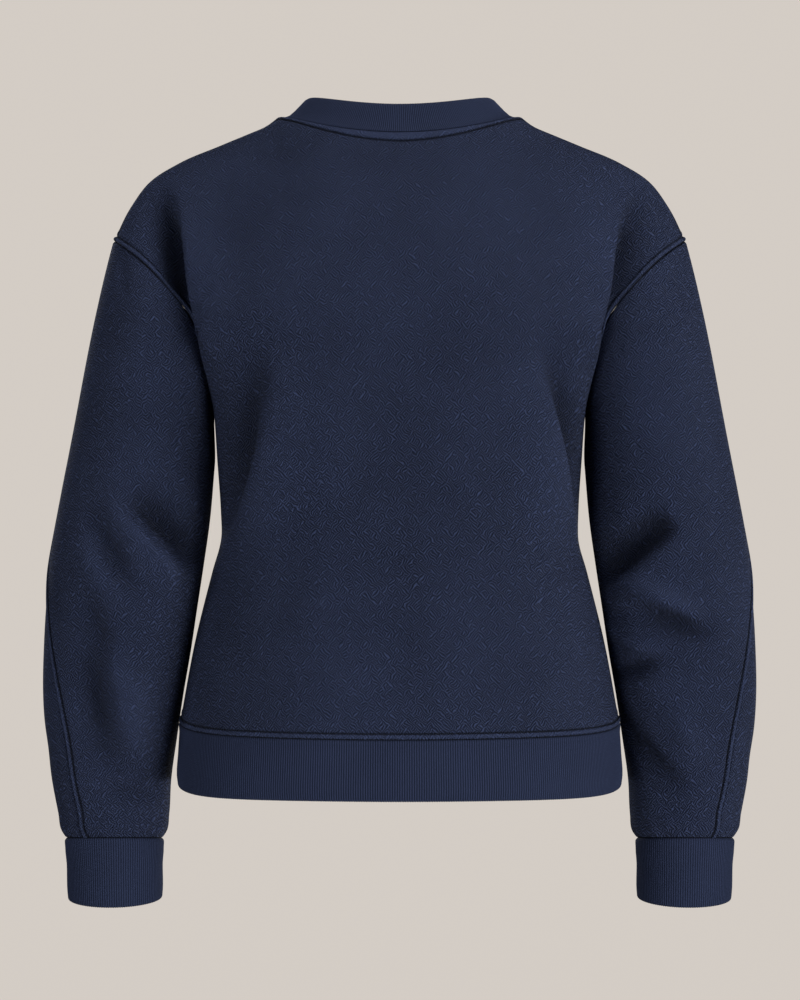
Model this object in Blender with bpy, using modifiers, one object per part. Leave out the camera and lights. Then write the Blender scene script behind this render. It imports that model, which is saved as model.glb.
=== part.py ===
"""Crewneck sweatshirt of brushed fleece, hollow, standing in the form it has when it is worn.

Frame: metres, +Z up.  The wearer faces -Y, so the front panel is on the -Y side and the wearer's
left arm is on the +X side.  The origin lies between the neck ends of the two shoulder seams, 1 mm
above them, where the wearer's shoulders carry the garment.

All the tables below are in millimetres.  Each cut piece is one open sheet, lofted through its own
sections and given its thickness by a Solidify modifier.
"""

import math
from collections import namedtuple

import bmesh
import bpy
import numpy as np

MM = 0.001

# ---------------------------------------------------------------- driving sizes, in millimetres
Cloth = namedtuple("Cloth", "kind wall colour roughness")
FLEECE = Cloth("fleece", 2.0, (0.022, 0.031, 0.066), 0.95)
RIB = Cloth("rib", 2.8, (0.020, 0.028, 0.058), 0.90)
SEAM_GAP = 0.3
TURNED_SEAM_GAP = 0.55  # at a seam where the cloth turns, so that its inner edges stay apart too
UNDERARM_GAP = 0.5  # between the sleeve and the body where the one lies folded against the other
SEAM_MARGIN = 3.0

NECK_HALF_WIDTH = 104.5
BACK_NECK_DEPTH = 64.0
FRONT_NECK_DEPTH = 78.0
BACK_NECK_DROP = 21.0
FRONT_NECK_DROP = 84.0
NECK_POINT_HEIGHT = -1.0

NECK_SHARE = 0.42  # share of a section, from the centre line, that lies under the neck seam
SHOULDER_BLEND = 120.0  # how far down the upper edge shapes the sections
SHOULDER_ROUNDING = 14.0  # how far from the shoulder seam its round top reaches
ROUNDING_FADE = 250.0  # from where down to the hem the sections slide back to their own heights
SECTION_LENGTH = 250.0
SECTION_STEPS = 60
SLEEVE_LENGTH = 540.0
BACK_NECK_ROUNDNESS = 2.0  # how long the neck seam stays low on its way up to the neck point
FRONT_NECK_ROUNDNESS = 3.2
EDGE_SHARPNESS = 16  # how close to the armhole the shoulder's round top fades out
FOLD_FADE = 6  # how close to the side edge the body's folds fade out
SLEEVE_FOLD_FADE = 4.0  # how close to its edges a sleeve's folds fade out
BULGE_RISE = 0.6  # upward part of the way in which the neckband swells

# How many faces the sheets have along their sides.
NECK_FACES = 6
SHOULDER_FACES = 6
ARMHOLE_FACES = 11
SIDE_FACES = 6
SLEEVE_FACES = 11
SET_BACK_FACES = 1  # faces of the armhole from the top of the shoulder back to the shoulder seam
HEM_QUARTER_FACES = 9
CUFF_FACES = 18

# The shoulder line seen from behind, from the neck point to the tip of the shoulder.
ShoulderPoint = namedtuple("ShoulderPoint", "across height")
SHOULDER_LINE = [
    ShoulderPoint(104.5, -1.0),
    ShoulderPoint(156.0, -22.0),
    ShoulderPoint(194.0, -38.0),
    ShoulderPoint(220.5, -55.5),
    ShoulderPoint(236.0, -77.5),
    ShoulderPoint(250.0, -108.0),
]

# One row for each section of a body panel, from the neck to the hem seam.  A section runs from the
# centre line to the armhole or side seam.  `turn` is the way it heads at that edge, seen from above
# (0 is outwards, 90 is towards the other panel), `fall` how steeply it drops there, and `spread`
# and `hold` are how far the centre and the edge keep their direction.
BodyRow = namedtuple(
    "BodyRow", "centre_depth centre_height edge_across edge_depth edge_height turn fall spread hold"
)
BACK_ROWS = [
    BodyRow(64.0, -22.0, 250.0, 0.0, -108.0, 0.0, 62.0, 0.55, 70.0),
    BodyRow(69.0, -31.0, 249.4, 11.0, -108.3, 0.0, 60.0, 0.55, 66.0),
    BodyRow(79.0, -47.0, 242.0, 29.0, -113.5, -4.0, 54.0, 0.56, 54.0),
    BodyRow(91.0, -72.0, 222.0, 47.0, -129.0, -14.0, 42.0, 0.60, 40.0),
    BodyRow(101.0, -102.0, 200.0, 53.0, -151.0, -22.0, 26.0, 0.68, 24.0),
    BodyRow(109.0, -135.0, 182.0, 49.0, -173.0, 40.0, 6.0, 0.72, 24.0),
    BodyRow(114.0, -170.0, 170.0, 41.0, -200.0, 108.0, 0.0, 0.68, 50.0),
    BodyRow(117.0, -202.0, 164.0, 29.0, -227.0, 106.0, 0.0, 0.66, 60.0),
    BodyRow(118.0, -224.0, 162.3, 15.0, -244.0, 98.0, 0.0, 0.66, 69.0),
    BodyRow(119.0, -240.0, 162.0, 0.0, -250.0, 94.0, 0.0, 0.66, 83.0),
    BodyRow(120.0, -292.0, 159.5, 0.0, -300.0, 92.0, 0.0, 0.65, 81.0),
    BodyRow(120.0, -340.0, 157.0, 0.0, -345.0, 90.0, 0.0, 0.64, 77.0),
    BodyRow(119.5, -366.0, 156.5, 0.0, -368.0, 90.0, 0.0, 0.63, 74.0),
    BodyRow(119.0, -396.0, 164.0, 0.0, -396.0, 90.0, 0.0, 0.62, 71.0),
    BodyRow(118.5, -458.0, 179.5, 0.0, -458.0, 90.0, 0.0, 0.62, 66.0),
    BodyRow(117.5, -532.0, 192.7, 0.0, -528.0, 90.0, 0.0, 0.62, 62.0),
]
FRONT_ROWS = [
    BodyRow(78.0, -85.0, 250.0, 0.0, -108.0, 0.0, 62.0, 0.50, 70.0),
    BodyRow(82.0, -92.0, 249.4, 11.0, -108.4, 0.0, 60.0, 0.50, 66.0),
    BodyRow(91.0, -104.5, 241.0, 27.0, -115.5, -4.0, 54.0, 0.52, 54.0),
    BodyRow(103.0, -123.0, 218.0, 42.0, -136.0, -10.0, 40.0, 0.56, 40.0),
    BodyRow(112.0, -146.0, 195.0, 47.0, -160.0, -10.0, 24.0, 0.62, 26.0),
    BodyRow(119.0, -168.0, 180.0, 44.0, -181.0, 45.0, 6.0, 0.66, 26.0),
    BodyRow(124.0, -190.0, 170.0, 37.0, -203.0, 100.0, 0.0, 0.64, 50.0),
    BodyRow(127.0, -211.0, 164.0, 26.0, -228.0, 102.0, 0.0, 0.64, 60.0),
    BodyRow(128.5, -230.0, 162.3, 14.0, -244.0, 97.0, 0.0, 0.65, 72.0),
    BodyRow(129.0, -244.0, 162.0, 0.0, -250.0, 94.0, 0.0, 0.65, 86.0),
    BodyRow(129.0, -295.0, 159.5, 0.0, -300.0, 92.0, 0.0, 0.64, 84.0),
    BodyRow(127.0, -340.0, 157.0, 0.0, -345.0, 90.0, 0.0, 0.63, 80.0),
    BodyRow(126.0, -366.0, 156.5, 0.0, -368.0, 90.0, 0.0, 0.62, 78.0),
    BodyRow(124.5, -396.0, 164.0, 0.0, -396.0, 90.0, 0.0, 0.62, 74.0),
    BodyRow(122.0, -458.0, 179.5, 0.0, -458.0, 90.0, 0.0, 0.62, 68.0),
    BodyRow(118.5, -532.0, 192.7, 0.0, -528.0, 90.0, 0.0, 0.62, 62.0),
]
ARMHOLE_ROWS = 9  # rows from the shoulder tip to the underarm point

# One row for each ring of a sleeve below the underarm, from the armhole to the cuff.  `lean` turns
# the ring's plane, so that its outer side is the higher one, and `outer_seam` says how far the
# seam along the outside of the arm has come round to the back.
SleeveRow = namedtuple("SleeveRow", "height across depth half_width half_depth lean outer_seam")
SLEEVE_ROWS = [
    SleeveRow(-296.0, 226.2, -2.0, 63.7, 64.5, 8.0, -6.0),
    SleeveRow(-345.0, 232.8, 1.0, 66.2, 64.5, 7.0, -6.0),
    SleeveRow(-385.0, 238.7, 3.0, 66.7, 63.0, 6.0, -2.0),
    SleeveRow(-425.0, 243.8, 2.0, 65.8, 61.0, 4.0, 17.0),
    SleeveRow(-465.0, 248.4, -2.0, 64.3, 59.0, 2.0, 33.0),
    SleeveRow(-505.0, 252.9, -8.0, 61.6, 56.0, 1.0, 46.0),
    SleeveRow(-545.0, 255.4, -15.0, 57.7, 52.0, 0.0, 54.0),
    SleeveRow(-585.0, 256.3, -22.0, 52.5, 48.0, 0.0, 56.5),
    SleeveRow(-614.0, 255.0, -26.0, 49.2, 44.5, 0.0, 58.0),
    SleeveRow(-630.0, 255.0, -28.0, 46.6, 42.0, 0.0, 58.0),
    SleeveRow(-636.5, 255.0, -29.0, 42.5, 38.0, 0.0, 58.0),
]
CAP_SHARE = 0.42  # share of a sleeve's rows that lie above the first of those rings

# The folds, each along a line as seen square on to the front or the back.  A ridge has a positive
# depth and a trough a negative one; `width` is where the fold has faded to a third.
Fold = namedtuple("Fold", "across_start height_start across_end height_end width depth")
BODY_FOLDS = [
    Fold(143.0, -372.0, 118.0, -298.0, 14.0, 2.5),
    Fold(128.0, -402.0, 96.0, -330.0, 16.0, -2.0),
]
LEFT_SLEEVE_FOLDS = [
    Fold(237.0, -332.0, 190.0, -394.0, 16.0, -7.0),
    Fold(256.0, -344.0, 214.0, -410.0, 13.0, 4.0),
    Fold(266.0, -554.0, 243.0, -571.0, 16.0, -4.0),
]
RIGHT_SLEEVE_FOLDS = [
    Fold(228.0, -358.0, 186.0, -404.0, 18.0, -7.0),
    Fold(230.0, -404.0, 264.0, -446.0, 13.0, 4.0),
    Fold(248.0, -562.0, 266.0, -596.0, 16.0, -4.0),
]

# One row for each ring of a rib band, from its seam to its folded edge.
HemRow = namedtuple("HemRow", "height side_height half_width back_depth front_depth")
HEM_ROWS = [
    HemRow(-532.0, -528.0, 192.7, 117.5, 118.5),
    HemRow(-558.0, -556.0, 194.5, 119.0, 120.0),
    HemRow(-576.0, -575.5, 195.5, 119.5, 120.5),
    HemRow(-583.0, -583.0, 193.0, 117.5, 118.5),
]
CuffRow = namedtuple("CuffRow", "height across depth half_width half_depth lean")
CUFF_ROWS = [
    CuffRow(-636.5, 255.0, -29.0, 42.5, 38.0, 0.0),
    CuffRow(-641.0, 255.0, -29.5, 43.4, 38.0, 1.0),
    CuffRow(-660.0, 255.0, -31.5, 42.6, 37.0, 3.0),
    CuffRow(-684.0, 255.0, -34.0, 42.4, 36.5, 4.0),
    CuffRow(-691.0, 255.0, -34.5, 40.5, 34.5, 4.0),
]
# From the neck seam up to the folded edge: how far the ring has moved on towards the edge's form.
NeckbandRow = namedtuple("NeckbandRow", "inward upward bulge")
NECKBAND_ROWS = [
    NeckbandRow(0.0, 0.0, 0.0),
    NeckbandRow(0.28, 0.17, 0.0),
    NeckbandRow(0.58, 0.50, 0.3),
    NeckbandRow(0.86, 0.88, 0.5),
    NeckbandRow(1.0, 1.0, -0.8),
]
BAND_TOP_HALF_WIDTH = 80.0
BAND_TOP_BACK_DEPTH = 57.0
BAND_TOP_FRONT_DEPTH = 67.0
BAND_TOP_BACK_HEIGHT = 3.0
BAND_TOP_SIDE_HEIGHT = 19.5
BAND_TOP_FRONT_HEIGHT = -60.0


# ---------------------------------------------------------------- curves through the tables
def running_length(points):
    """Distance travelled along a list of points, starting at zero."""
    steps = np.linalg.norm(np.diff(np.asarray(points, float), axis=0), axis=1)
    return np.concatenate([[0.0], np.cumsum(steps)])


def smooth_between(stations, values, at):
    """Value at station `at` of the smooth curve that passes through `values` at `stations`."""
    stations = np.asarray(stations, float)
    values = np.asarray(values, float)
    slopes = np.gradient(values, stations, axis=0)
    low = int(np.clip(np.searchsorted(stations, at, side="right") - 1, 0, len(stations) - 2))
    span = stations[low + 1] - stations[low]
    t = (at - stations[low]) / span
    start = (2 * t**3 - 3 * t**2 + 1) * values[low]
    start_slope = (t**3 - 2 * t**2 + t) * span * slopes[low]
    end = (3 * t**2 - 2 * t**3) * values[low + 1]
    end_slope = (t**3 - t**2) * span * slopes[low + 1]
    return start + start_slope + end + end_slope


def even_share(points, share):
    """Point at `share` (0 to 1) of the length of a finely sampled curve."""
    lengths = running_length(points)
    wanted = share * lengths[-1]
    return np.array([np.interp(wanted, lengths, points[:, axis]) for axis in range(3)])


def unit(vector):
    """The vector at length one."""
    return vector / max(np.linalg.norm(vector), 1e-12)


def edge_direction(turn, fall):
    """Way a body section heads at its outer edge: across, in depth and in height."""
    turn, fall = math.radians(turn), math.radians(fall)
    return np.array([math.cos(turn) * math.cos(fall), -math.sin(turn) * math.cos(fall), -math.sin(fall)])


def section_point(row, share):
    """Point of a body section at a share of its length from the centre line to its edge."""
    centre = np.array([0.0, row.centre_depth, row.centre_height])
    edge = np.array([row.edge_across, row.edge_depth, row.edge_height])
    centre_grip = centre + np.array([row.spread * row.edge_across, 0.0, 0.0])
    edge_grip = edge - edge_direction(row.turn, row.fall) * row.hold
    t = np.linspace(0.0, 1.0, SECTION_STEPS)[:, None]
    curve = (
        (1 - t) ** 3 * centre
        + 3 * (1 - t) ** 2 * t * centre_grip
        + 3 * (1 - t) * t**2 * edge_grip
        + t**3 * edge
    )
    return even_share(curve, share)


# ---------------------------------------------------------------- the body panels
class Panel:
    """One half of the front or the back, as points of its outer face.

    `share` runs along a section from the centre line (0) to the armhole or side seam (1), and
    `station` runs down the panel, in millimetres along that edge, from the tip of the shoulder.
    """

    def __init__(self, rows, side, neck_depth, neck_drop, neck_roundness):
        self.side = side
        self.table = np.array(rows)
        self.stations = running_length(self.table[:, 2:5])
        self.underarm = self.stations[ARMHOLE_ROWS]
        self.hem = self.stations[-1]
        self.neck_depth = neck_depth
        self.neck_drop = neck_drop
        self.neck_roundness = neck_roundness
        shoulder = np.array(SHOULDER_LINE)
        self.shoulder = np.column_stack([shoulder[:, 0], np.zeros(len(shoulder)), shoulder[:, 1]])

    def neck(self, share):
        """Point of the neck seam, from the centre (0) to the neck point of the shoulder (1)."""
        angle = share * math.pi / 2
        rise = math.sin(angle) ** self.neck_roundness
        return np.array(
            [
                NECK_HALF_WIDTH * math.sin(angle),
                self.neck_depth * math.cos(angle),
                NECK_POINT_HEIGHT - self.neck_drop * (1 - rise),
            ]
        )

    def top_edge(self, share):
        """Point of the upper edge: the neck seam and then the shoulder seam."""
        if share <= NECK_SHARE:
            return self.neck(share / NECK_SHARE)
        along = (share - NECK_SHARE) / (1 - NECK_SHARE)
        lengths = running_length(self.shoulder)
        return smooth_between(lengths, self.shoulder, along * lengths[-1])

    def edge(self, station):
        """Point of the armhole or, below the underarm, of the side seam."""
        reached = slice(0, ARMHOLE_ROWS + 1) if station <= self.underarm else slice(ARMHOLE_ROWS, None)
        return smooth_between(self.stations[reached], self.table[reached, 2:5], station)

    def section(self, share, station):
        """Point of the smooth section at that station, before the upper edge shapes it."""
        row = BodyRow(*smooth_between(self.stations, self.table, station))
        across, depth, height = self.edge(station)
        row = row._replace(edge_across=across, edge_depth=depth, edge_height=height)
        return section_point(row, share)

    def point(self, share, station):
        """Point of the outer face, in metres, on the wearer's left half of the panel's own side."""
        lift = self.top_edge(share) - self.section(share, 0.0)
        reach = min(station / SHOULDER_BLEND, 1.0)
        sideways = (1 - reach) ** 2
        ridge = min(share / NECK_SHARE, 1.0)
        upward = (1 - reach ** (1 + ridge)) ** 2
        past_seam = max(station - SEAM_MARGIN, 0.0)
        rounded = past_seam**3 / (past_seam**2 + SHOULDER_ROUNDING**2)
        fade = 1 - min(max((station - ROUNDING_FADE) / (self.hem - ROUNDING_FADE), 0.0), 1.0)
        roundness = ridge * fade * (1 - share**EDGE_SHARPNESS)
        place = self.section(share, station + (rounded - station) * roundness)
        place[1] = self.section(share, station)[1]
        place += lift * np.array([sideways, sideways, upward])
        place[1] *= self.side
        return place * MM

    def armhole(self, share):
        """Point of the armhole, from the tip of the shoulder (0) to the underarm (1)."""
        return self.edge(share * self.underarm) * np.array([1.0, self.side, 1.0])


BACK = Panel(BACK_ROWS, 1, BACK_NECK_DEPTH, BACK_NECK_DROP, BACK_NECK_ROUNDNESS)
FRONT = Panel(FRONT_ROWS, -1, FRONT_NECK_DEPTH, FRONT_NECK_DROP, FRONT_NECK_ROUNDNESS)


def with_margins(stops, length):
    """Stops from 0 to 1 with one more close to each end, which keeps the seam's edge square."""
    margin = SEAM_MARGIN / length
    return [stops[0], stops[0] + margin, *stops[1:-1], stops[-1] - margin, stops[-1]]


def armhole_stops(panel):
    """Distances along the armhole that have a point, on the panel and on the sleeve alike."""
    stops = np.array(with_margins(list(np.linspace(0.0, 1.0, ARMHOLE_FACES + 1)), panel.underarm))
    stops = list(stops * panel.underarm)
    if panel is BACK:
        seam = shoulder_seam_tip()
        stops += [seam - SEAM_MARGIN, seam + SEAM_MARGIN]
    return sorted(stops)


def shoulder_seam_tip():
    """How far behind the top of the shoulder the shoulder seam meets the armhole."""
    return BACK.underarm * SET_BACK_FACES / ARMHOLE_FACES


def panel_stations(panel, share):
    """Distances down the panel, at a share of its sections, from the shoulder seam to the underarm.

    The seam starts at the neck point on top of the shoulder and ends further back at the armhole,
    so the front's distances begin behind the top of the shoulder, where they are negative.
    """
    tip = shoulder_seam_tip() * panel.side
    seam = tip * max(share - NECK_SHARE, 0.0) / (1 - NECK_SHARE)
    stops = [stop for stop in armhole_stops(panel) if stop >= tip]
    if panel is FRONT:
        stops = [tip, tip + SEAM_MARGIN, *stops]
    stretch = (panel.underarm - seam) / (panel.underarm - tip)
    return [seam + (stop - tip) * stretch for stop in stops]


def body_point(panel, share, station):
    """Point of the body, beyond the top of the shoulder too, where it is on the other panel's side."""
    if station >= 0:
        return panel.point(share, station)
    other = FRONT if panel is BACK else BACK
    return other.point(share, -station)


def pull_back(grid, gaps):
    """Draw the edges of a grid of points in by half the gap that each is to have."""
    drawn = grid.copy()
    for (axis, edge, beside), gap in gaps.items():
        half_gap = 0.5 * MM * np.broadcast_to(gap, grid.shape[1 - axis])[:, None]
        outer = np.take(grid, edge, axis=axis)
        inner = np.take(grid, beside, axis=axis)
        step = inner - outer
        length = np.maximum(np.linalg.norm(step, axis=-1, keepdims=True), 1e-9)
        index = [slice(None)] * 3
        index[axis] = edge
        drawn[tuple(index)] += step / length * half_gap
    return drawn


def with_folds(grid, folds, strength, side):
    """The grid of points with its folds raised or sunk along its own outward direction."""
    down = np.gradient(grid, axis=0)
    over = np.gradient(grid, axis=1)
    outward = np.cross(down, over) * side
    outward /= np.maximum(np.linalg.norm(outward, axis=-1, keepdims=True), 1e-12)
    seen = grid[..., [0, 2]] / MM
    raised = np.zeros(grid.shape[:2])
    for fold in folds:
        start = np.array([fold.across_start, fold.height_start])
        line = np.array([fold.across_end, fold.height_end]) - start
        along = np.clip((seen - start) @ line / (line @ line), 0.0, 1.0)
        off = np.linalg.norm(seen - start - along[..., None] * line, axis=-1)
        raised += fold.depth * np.exp(-((off / fold.width) ** 2))
    return grid + outward * (raised * strength)[..., None] * MM


TOP_EDGE = (0, 0, 1)
BOTTOM_EDGE = (0, -1, -2)
FIRST_EDGE = (1, 0, 1)
LAST_EDGE = (1, -1, -2)


def panel_grid(panel):
    """Points of half a body panel: rows from the neck to the hem, columns from the centre out."""
    shares = list(np.linspace(0.0, NECK_SHARE, NECK_FACES + 1))
    shares += list(np.linspace(NECK_SHARE, 1.0, SHOULDER_FACES + 1))[1:]
    shares.insert(-1, 1.0 - SEAM_MARGIN / SECTION_LENGTH)
    below = list(np.linspace(panel.underarm, panel.hem, SIDE_FACES + 1))[1:]
    below.insert(-1, panel.hem - SEAM_MARGIN)
    columns = [panel_stations(panel, share) + below for share in shares]
    by_column = [[body_point(panel, share, stop) for stop in stops] for share, stops in zip(shares, columns)]
    grid = np.array(by_column).swapaxes(0, 1)
    fading = np.broadcast_to(1.0 - np.array(shares) ** FOLD_FADE, grid.shape[:2])
    grid = with_folds(grid, BODY_FOLDS, fading, -panel.side)
    outer = np.where(np.array(columns[-1]) <= panel.underarm, TURNED_SEAM_GAP, SEAM_GAP)
    return pull_back(grid, {TOP_EDGE: TURNED_SEAM_GAP, BOTTOM_EDGE: TURNED_SEAM_GAP, LAST_EDGE: outer})


# ---------------------------------------------------------------- the sleeves
# The way the sleeve leaves the armhole, at a few shares of the way from shoulder to underarm.
SleeveStart = namedtuple("SleeveStart", "share across depth height")
SLEEVE_STARTS = [
    SleeveStart(0.0, 0.26, 0.0, -0.96),
    SleeveStart(0.25, 0.38, 0.16, -0.90),
    SleeveStart(0.45, 0.50, 0.42, -0.76),
    SleeveStart(0.60, 0.52, 0.60, -0.60),
    SleeveStart(0.75, 0.42, 0.66, -0.62),
    SleeveStart(0.88, 0.26, 0.50, -0.83),
    SleeveStart(1.0, 0.14, 0.0, -0.99),
]


class Sleeve:
    """One half of a sleeve, the back or the front piece, as points of its outer face.

    `around` runs from the outer seam (0) to the underarm seam (1), `along` from the armhole (0) to
    the cuff (1).
    """

    def __init__(self, panel):
        self.panel = panel
        self.table = np.array(SLEEVE_ROWS)
        self.stations = running_length(self.table[:, :2])
        self.starts = np.array(SLEEVE_STARTS)

    def ring(self, around, station):
        """Point of the sleeve's tube below the underarm."""
        row = SleeveRow(*smooth_between(self.stations, self.table, station))
        seam = math.radians(row.outer_seam) * self.panel.side
        angle = seam + (math.pi - seam) * around
        lean = math.radians(row.lean)
        outward = row.half_width * math.cos(angle)
        return np.array(
            [
                row.across + outward * math.cos(lean),
                row.depth + self.panel.side * row.half_depth * math.sin(angle),
                row.height + outward * math.sin(lean),
            ]
        )

    def point(self, around, along):
        """Point of the sleeve's outer face, in metres, on the wearer's left."""
        if along >= CAP_SHARE:
            station = (along - CAP_SHARE) / (1 - CAP_SHARE) * self.stations[-1]
            return self.ring(around, station) * MM
        t = along / CAP_SHARE
        start = self.panel.armhole(around) + np.array([UNDERARM_GAP * around**3, 0.0, 0.0])
        end = self.ring(around, 0.0)
        reach = np.linalg.norm(end - start)
        leaving = unit(smooth_between(self.starts[:, 0], self.starts[:, 1:], around))
        leaving = leaving * np.array([1.0, self.panel.side, 1.0]) * reach
        arriving = unit(self.ring(around, 1.0) - end) * reach
        place = (
            (2 * t**3 - 3 * t**2 + 1) * start
            + (t**3 - 2 * t**2 + t) * leaving
            + (3 * t**2 - 2 * t**3) * end
            + (t**3 - t**2) * arriving
        )
        return place * MM


def sleeve_grid(panel, folds):
    """Points of one sleeve piece: rows from the armhole to the cuff, columns from seam to seam."""
    sleeve = Sleeve(panel)
    arounds = [stop / panel.underarm for stop in armhole_stops(panel)]
    alongs = with_margins(list(np.linspace(0.0, 1.0, SLEEVE_FACES + 1)), SLEEVE_LENGTH)
    grid = np.array([[sleeve.point(around, along) for around in arounds] for along in alongs])
    from_seams = np.minimum(SLEEVE_FOLD_FADE * np.sin(np.pi * np.array(arounds)) ** 2, 1.0)
    from_ends = np.minimum(SLEEVE_FOLD_FADE * np.sin(np.pi * np.array(alongs)) ** 2, 1.0)
    strength = from_ends[:, None] * from_seams[None, :]
    grid = with_folds(grid, folds, strength, panel.side)
    gaps = {
        TOP_EDGE: TURNED_SEAM_GAP,
        BOTTOM_EDGE: SEAM_GAP,
        FIRST_EDGE: SEAM_GAP,
        LAST_EDGE: TURNED_SEAM_GAP,
    }
    return pull_back(grid, gaps)


# ---------------------------------------------------------------- the rib bands
def whole_loop(back_half, front_half):
    """Closed ring of points from its back and front quarters on the wearer's left."""
    mirror = np.array([-1.0, 1.0, 1.0])
    loop = list(back_half)
    loop += list(front_half[-2::-1])
    loop += [place * mirror for place in front_half[1:]]
    loop += [place * mirror for place in back_half[-2:0:-1]]
    return loop


def hem_grid():
    """Points of the hem band: rows from the hem seam down, columns once round the body."""
    stops = np.linspace(0.0, 1.0, HEM_QUARTER_FACES + 1)
    grid = []
    for row in HEM_ROWS:
        halves = []
        for panel, depth in ((BACK, row.back_depth), (FRONT, row.front_depth)):
            section = BodyRow(*panel.table[-1])._replace(
                centre_depth=depth,
                centre_height=row.height,
                edge_across=row.half_width,
                edge_height=row.side_height,
            )
            side = np.array([1.0, panel.side, 1.0])
            halves.append([section_point(section, stop) * side for stop in stops])
        grid.append(whole_loop(*halves))
    return pull_back(np.array(grid) * MM, {TOP_EDGE: TURNED_SEAM_GAP})


def neckband_grid():
    """Points of the neckband: rows from the neck seam up, columns once round the neck."""
    stops = np.linspace(0.0, 1.0, NECK_FACES + 1)
    tops = {
        BACK: (BAND_TOP_BACK_DEPTH, BAND_TOP_BACK_HEIGHT),
        FRONT: (BAND_TOP_FRONT_DEPTH, BAND_TOP_FRONT_HEIGHT),
    }
    grid = []
    for row in NECKBAND_ROWS:
        halves = []
        for panel, (top_depth, top_height) in tops.items():
            half = []
            for stop in stops:
                angle = stop * math.pi / 2
                seam = panel.neck(stop)
                rise = math.sin(angle) ** panel.neck_roundness
                height = top_height + (BAND_TOP_SIDE_HEIGHT - top_height) * rise
                across = BAND_TOP_HALF_WIDTH * math.sin(angle)
                top = np.array([across, top_depth * math.cos(angle), height])
                moved = np.array([row.inward, row.inward, row.upward])
                outward = unit(np.array([math.sin(angle), math.cos(angle), BULGE_RISE]))
                place = seam + (top - seam) * moved + outward * row.bulge
                half.append(place * np.array([1.0, panel.side, 1.0]))
            halves.append(half)
        grid.append(whole_loop(*halves))
    return pull_back(np.array(grid) * MM, {TOP_EDGE: SEAM_GAP})


def cuff_grid():
    """Points of a cuff: rows from the cuff seam down, columns once round the wrist."""
    grid = []
    for row in CUFF_ROWS:
        ring = []
        for step in range(CUFF_FACES):
            angle = 2 * math.pi * step / CUFF_FACES
            depth = row.half_depth * math.sin(angle)
            drop = depth * math.sin(math.radians(row.lean))
            ring.append([row.across + row.half_width * math.cos(angle), row.depth + depth, row.height - drop])
        grid.append(ring)
    return pull_back(np.array(grid) * MM, {TOP_EDGE: SEAM_GAP})


# ---------------------------------------------------------------- Blender objects
def clear_scene():
    """Remove whatever the open scene holds."""
    for item in list(bpy.data.objects):
        bpy.data.objects.remove(item, do_unlink=True)


def cloth_material(name, cloth):
    """The plain surface of one piece of cloth."""
    material = bpy.data.materials.new(f"{name}_{cloth.kind}")
    material.use_nodes = True
    shader = material.node_tree.nodes["Principled BSDF"]
    shader.inputs["Base Color"].default_value = (*cloth.colour, 1.0)
    shader.inputs["Roughness"].default_value = cloth.roughness
    shader.inputs["Metallic"].default_value = 0.0
    return material


def sheet_object(name, grid, cloth, collection, closed=False, half=False, flip=False):
    """Object of a sheet of cloth whose outer face passes through a grid of points."""
    rows, columns = grid.shape[:2]
    mesh = bmesh.new()
    points = [[mesh.verts.new(place) for place in row] for row in grid]
    for low in range(rows - 1):
        for left in range(columns if closed else columns - 1):
            right = (left + 1) % columns
            corners = [points[low][left], points[low + 1][left], points[low + 1][right], points[low][right]]
            mesh.faces.new(corners[::-1] if flip else corners)
    data = bpy.data.meshes.new(name)
    mesh.to_mesh(data)
    mesh.free()
    data.materials.append(cloth_material(name, cloth))
    sheet = bpy.data.objects.new(name, data)
    collection.objects.link(sheet)
    if half:
        mirror = sheet.modifiers.new("Other half", "MIRROR")
        mirror.use_clip = True
        mirror.merge_threshold = 0.0001
    thickness = sheet.modifiers.new("Cloth wall", "SOLIDIFY")
    thickness.thickness = cloth.wall * MM
    thickness.offset = -1.0
    data.shade_smooth()
    return sheet


Side = namedtuple("Side", "wearer_side mirror folds")
SIDES = [Side("left", 1.0, LEFT_SLEEVE_FOLDS), Side("right", -1.0, RIGHT_SLEEVE_FOLDS)]


def build():
    """Build every cut piece of the sweatshirt."""
    clear_scene()
    collection = bpy.data.collections.new("crewneck_sweatshirt")
    bpy.context.scene.collection.children.link(collection)

    for name, panel in (("back", BACK), ("front", FRONT)):
        sheet_object(name, panel_grid(panel), FLEECE, collection, half=True, flip=panel is BACK)
        for wearer_side, mirror, folds in SIDES:
            placed = sleeve_grid(panel, folds) * np.array([mirror, 1.0, 1.0])
            flip = (mirror > 0) == (panel is FRONT)
            sheet_object(f"sleeve_{wearer_side}_{name}", placed, FLEECE, collection, flip=flip)

    sheet_object("hem_band", hem_grid(), RIB, collection, closed=True, flip=True)
    sheet_object("neckband", neckband_grid(), RIB, collection, closed=True)
    for wearer_side, mirror, _ in SIDES:
        placed = cuff_grid() * np.array([mirror, 1.0, 1.0])
        sheet_object(f"cuff_{wearer_side}", placed, RIB, collection, closed=True, flip=mirror < 0)


build()
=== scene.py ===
"""Crewneck sweatshirt: brushed fleece panels and sleeves, folded rib bands, seams and stitches.

Frame: metres, +Z up.  The wearer faces -Y and the wearer's left arm is on the +X side.  Sizes in
the tables and in the dataclass fields are millimetres, unless a name says otherwise.
"""

import logging
import math
from dataclasses import dataclass
from enum import Enum
from typing import Any, Sequence

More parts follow.
